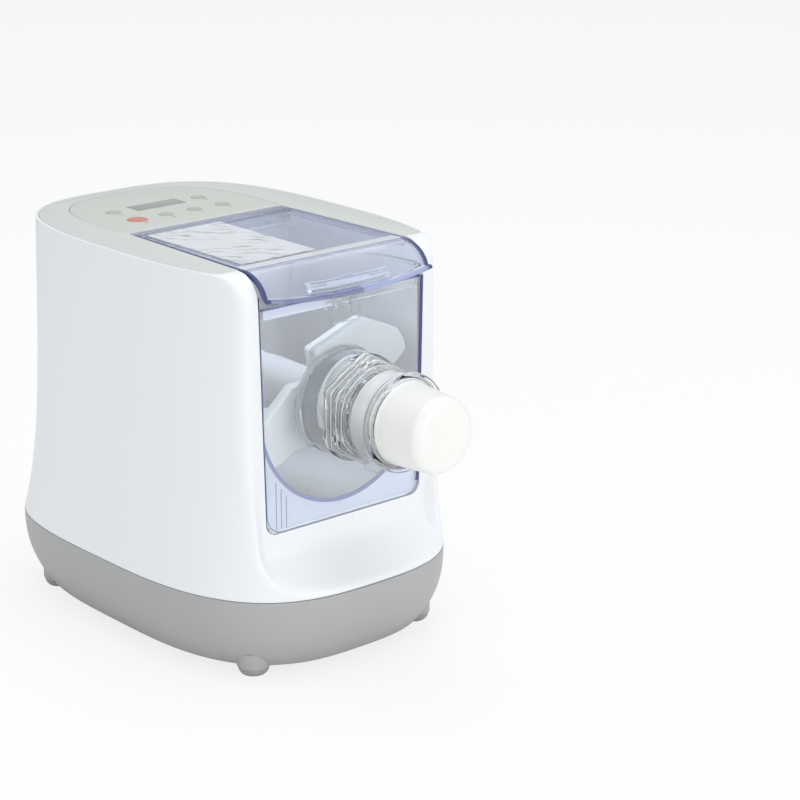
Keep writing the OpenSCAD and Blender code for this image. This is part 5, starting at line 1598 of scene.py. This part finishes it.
FINISHES = {
    "base_screws": steel, "display_module": black_plastic, "control_board": board_green,
    "chamber_liner": liner_white, "shaft_seal": seal_rubber, "hinge_brackets": liner_white,
    "hinge_pins": steel, "lid_label": label_frost, "lid_magnet": magnet_grey,
    "lid_sensor": black_plastic, "die_washer": seal_rubber, "drive_shaft": steel,
    "gearbox_housing": cast_alloy, "gearbox_cover": cast_alloy, "output_bearings": steel,
    "output_gear": gear_nylon, "idler_gear": steel, "idler_axle": steel,
    "motor_pinion": pinion_brass, "motor_can": zinc_can, "motor_rotor": laminations,
    "cooling_fan": black_plastic, "gearbox_screws": steel, "chassis": chassis_metal,
    "main_board": board_green, "board_screws": steel, "power_inlet": black_plastic,
    "panel_cable": cable_grey, "motor_leads": lead_red,
}
for node_name, material in FINISHES.items():
    paint(node[node_name], material)

# ---- Floor, world and lamps ----

FLOOR_REACH = 6.0
FLOOR_GREY = (0.9, 0.9, 0.9, 1)
FLOOR_WHITE_SHARE = 0.8
# Clear plastic sees the light within, the eye sees white, and all else sees the soft light.
SOFT_LIGHT = {"Color": (0.96, 0.98, 1.0, 1), "Strength": 0.655}
LIGHT_WITHIN = {"Color": (0.95, 0.98, 1.0, 1), "Strength": 2.0}


def stage():
    """A pale floor that looks nearly white to the eye, and keeps the machine's shadow."""
    data = bpy.data.meshes.new("floor")
    corners = laid(box_outline(-FLOOR_REACH, -FLOOR_REACH, FLOOR_REACH, FLOOR_REACH), 0)
    data.from_pydata(corners.tolist(), [], [(0, 1, 2, 3)])
    floor = bpy.data.objects.new("floor", data)
    bpy.context.scene.collection.objects.link(floor)
    mat = bpy.data.materials.new("floor_white")
    mat.use_nodes = True
    tree = mat.node_tree
    shader = tree.nodes["Principled BSDF"]
    shader.inputs["Base Color"].default_value = FLOOR_GREY
    shader.inputs["Roughness"].default_value = 0.8
    white = add_node(tree, "ShaderNodeEmission", {"Strength": 1.0})
    path, choose = add_node(tree, "ShaderNodeLightPath"), add_node(tree, "ShaderNodeMixShader")
    share = add_node(tree, "ShaderNodeMath", {1: FLOOR_WHITE_SHARE}, operation="MULTIPLY")
    wire(tree, (path, "Is Camera Ray", share, 0), (share, 0, choose, "Fac"),
         (shader, "BSDF", choose, 1), (white, "Emission", choose, 2),
         (choose, "Shader", tree.nodes["Material Output"], "Surface"))
    data.materials.append(mat)


def surround():
    """The world: white to the eye, a soft even light on the machine, and brighter within its plastic."""
    world = bpy.data.worlds.new("surround")
    bpy.context.scene.world = world
    world.use_nodes = True
    tree = world.node_tree
    soft = tree.nodes["Background"]
    for socket, value in SOFT_LIGHT.items():
        soft.inputs[socket].default_value = value
    white = add_node(tree, "ShaderNodeBackground", {"Color": (1, 1, 1, 1)})
    within = add_node(tree, "ShaderNodeBackground", LIGHT_WITHIN)
    path = add_node(tree, "ShaderNodeLightPath")
    choose, let_in = add_node(tree, "ShaderNodeMixShader"), add_node(tree, "ShaderNodeMixShader")
    wire(tree, (path, "Is Camera Ray", choose, "Fac"), (soft, "Background", choose, 1),
         (white, "Background", choose, 2), (path, "Is Transmission Ray", let_in, "Fac"),
         (choose, "Shader", let_in, 1), (within, "Background", let_in, 2),
         (let_in, "Shader", tree.nodes["World Output"], "Surface"))


def lamp(name, place, target, size, power):
    """A soft square lamp that faces a point."""
    data = bpy.data.lights.new(name, "AREA")
    data.size = size
    data.energy = power
    light = bpy.data.objects.new(name, data)
    bpy.context.scene.collection.objects.link(light)
    light.location = place
    aim = Vector(target) - Vector(place)
    light.rotation_euler = aim.to_track_quat("-Z", "Y").to_euler()


stage()
surround()
lamp("front", (0.55, -2.55, 0.7), (0, 0, 0.17), 1.4, 17)
lamp("left", (-2.0, -1.4, 0.9), (0, 0, 0.17), 1.5, 9)
lamp("top", (0.2, 0.1, 2.4), (0, 0, 0.2), 1.6, 22)
bpy.context.scene.view_settings.view_transform = "Standard"
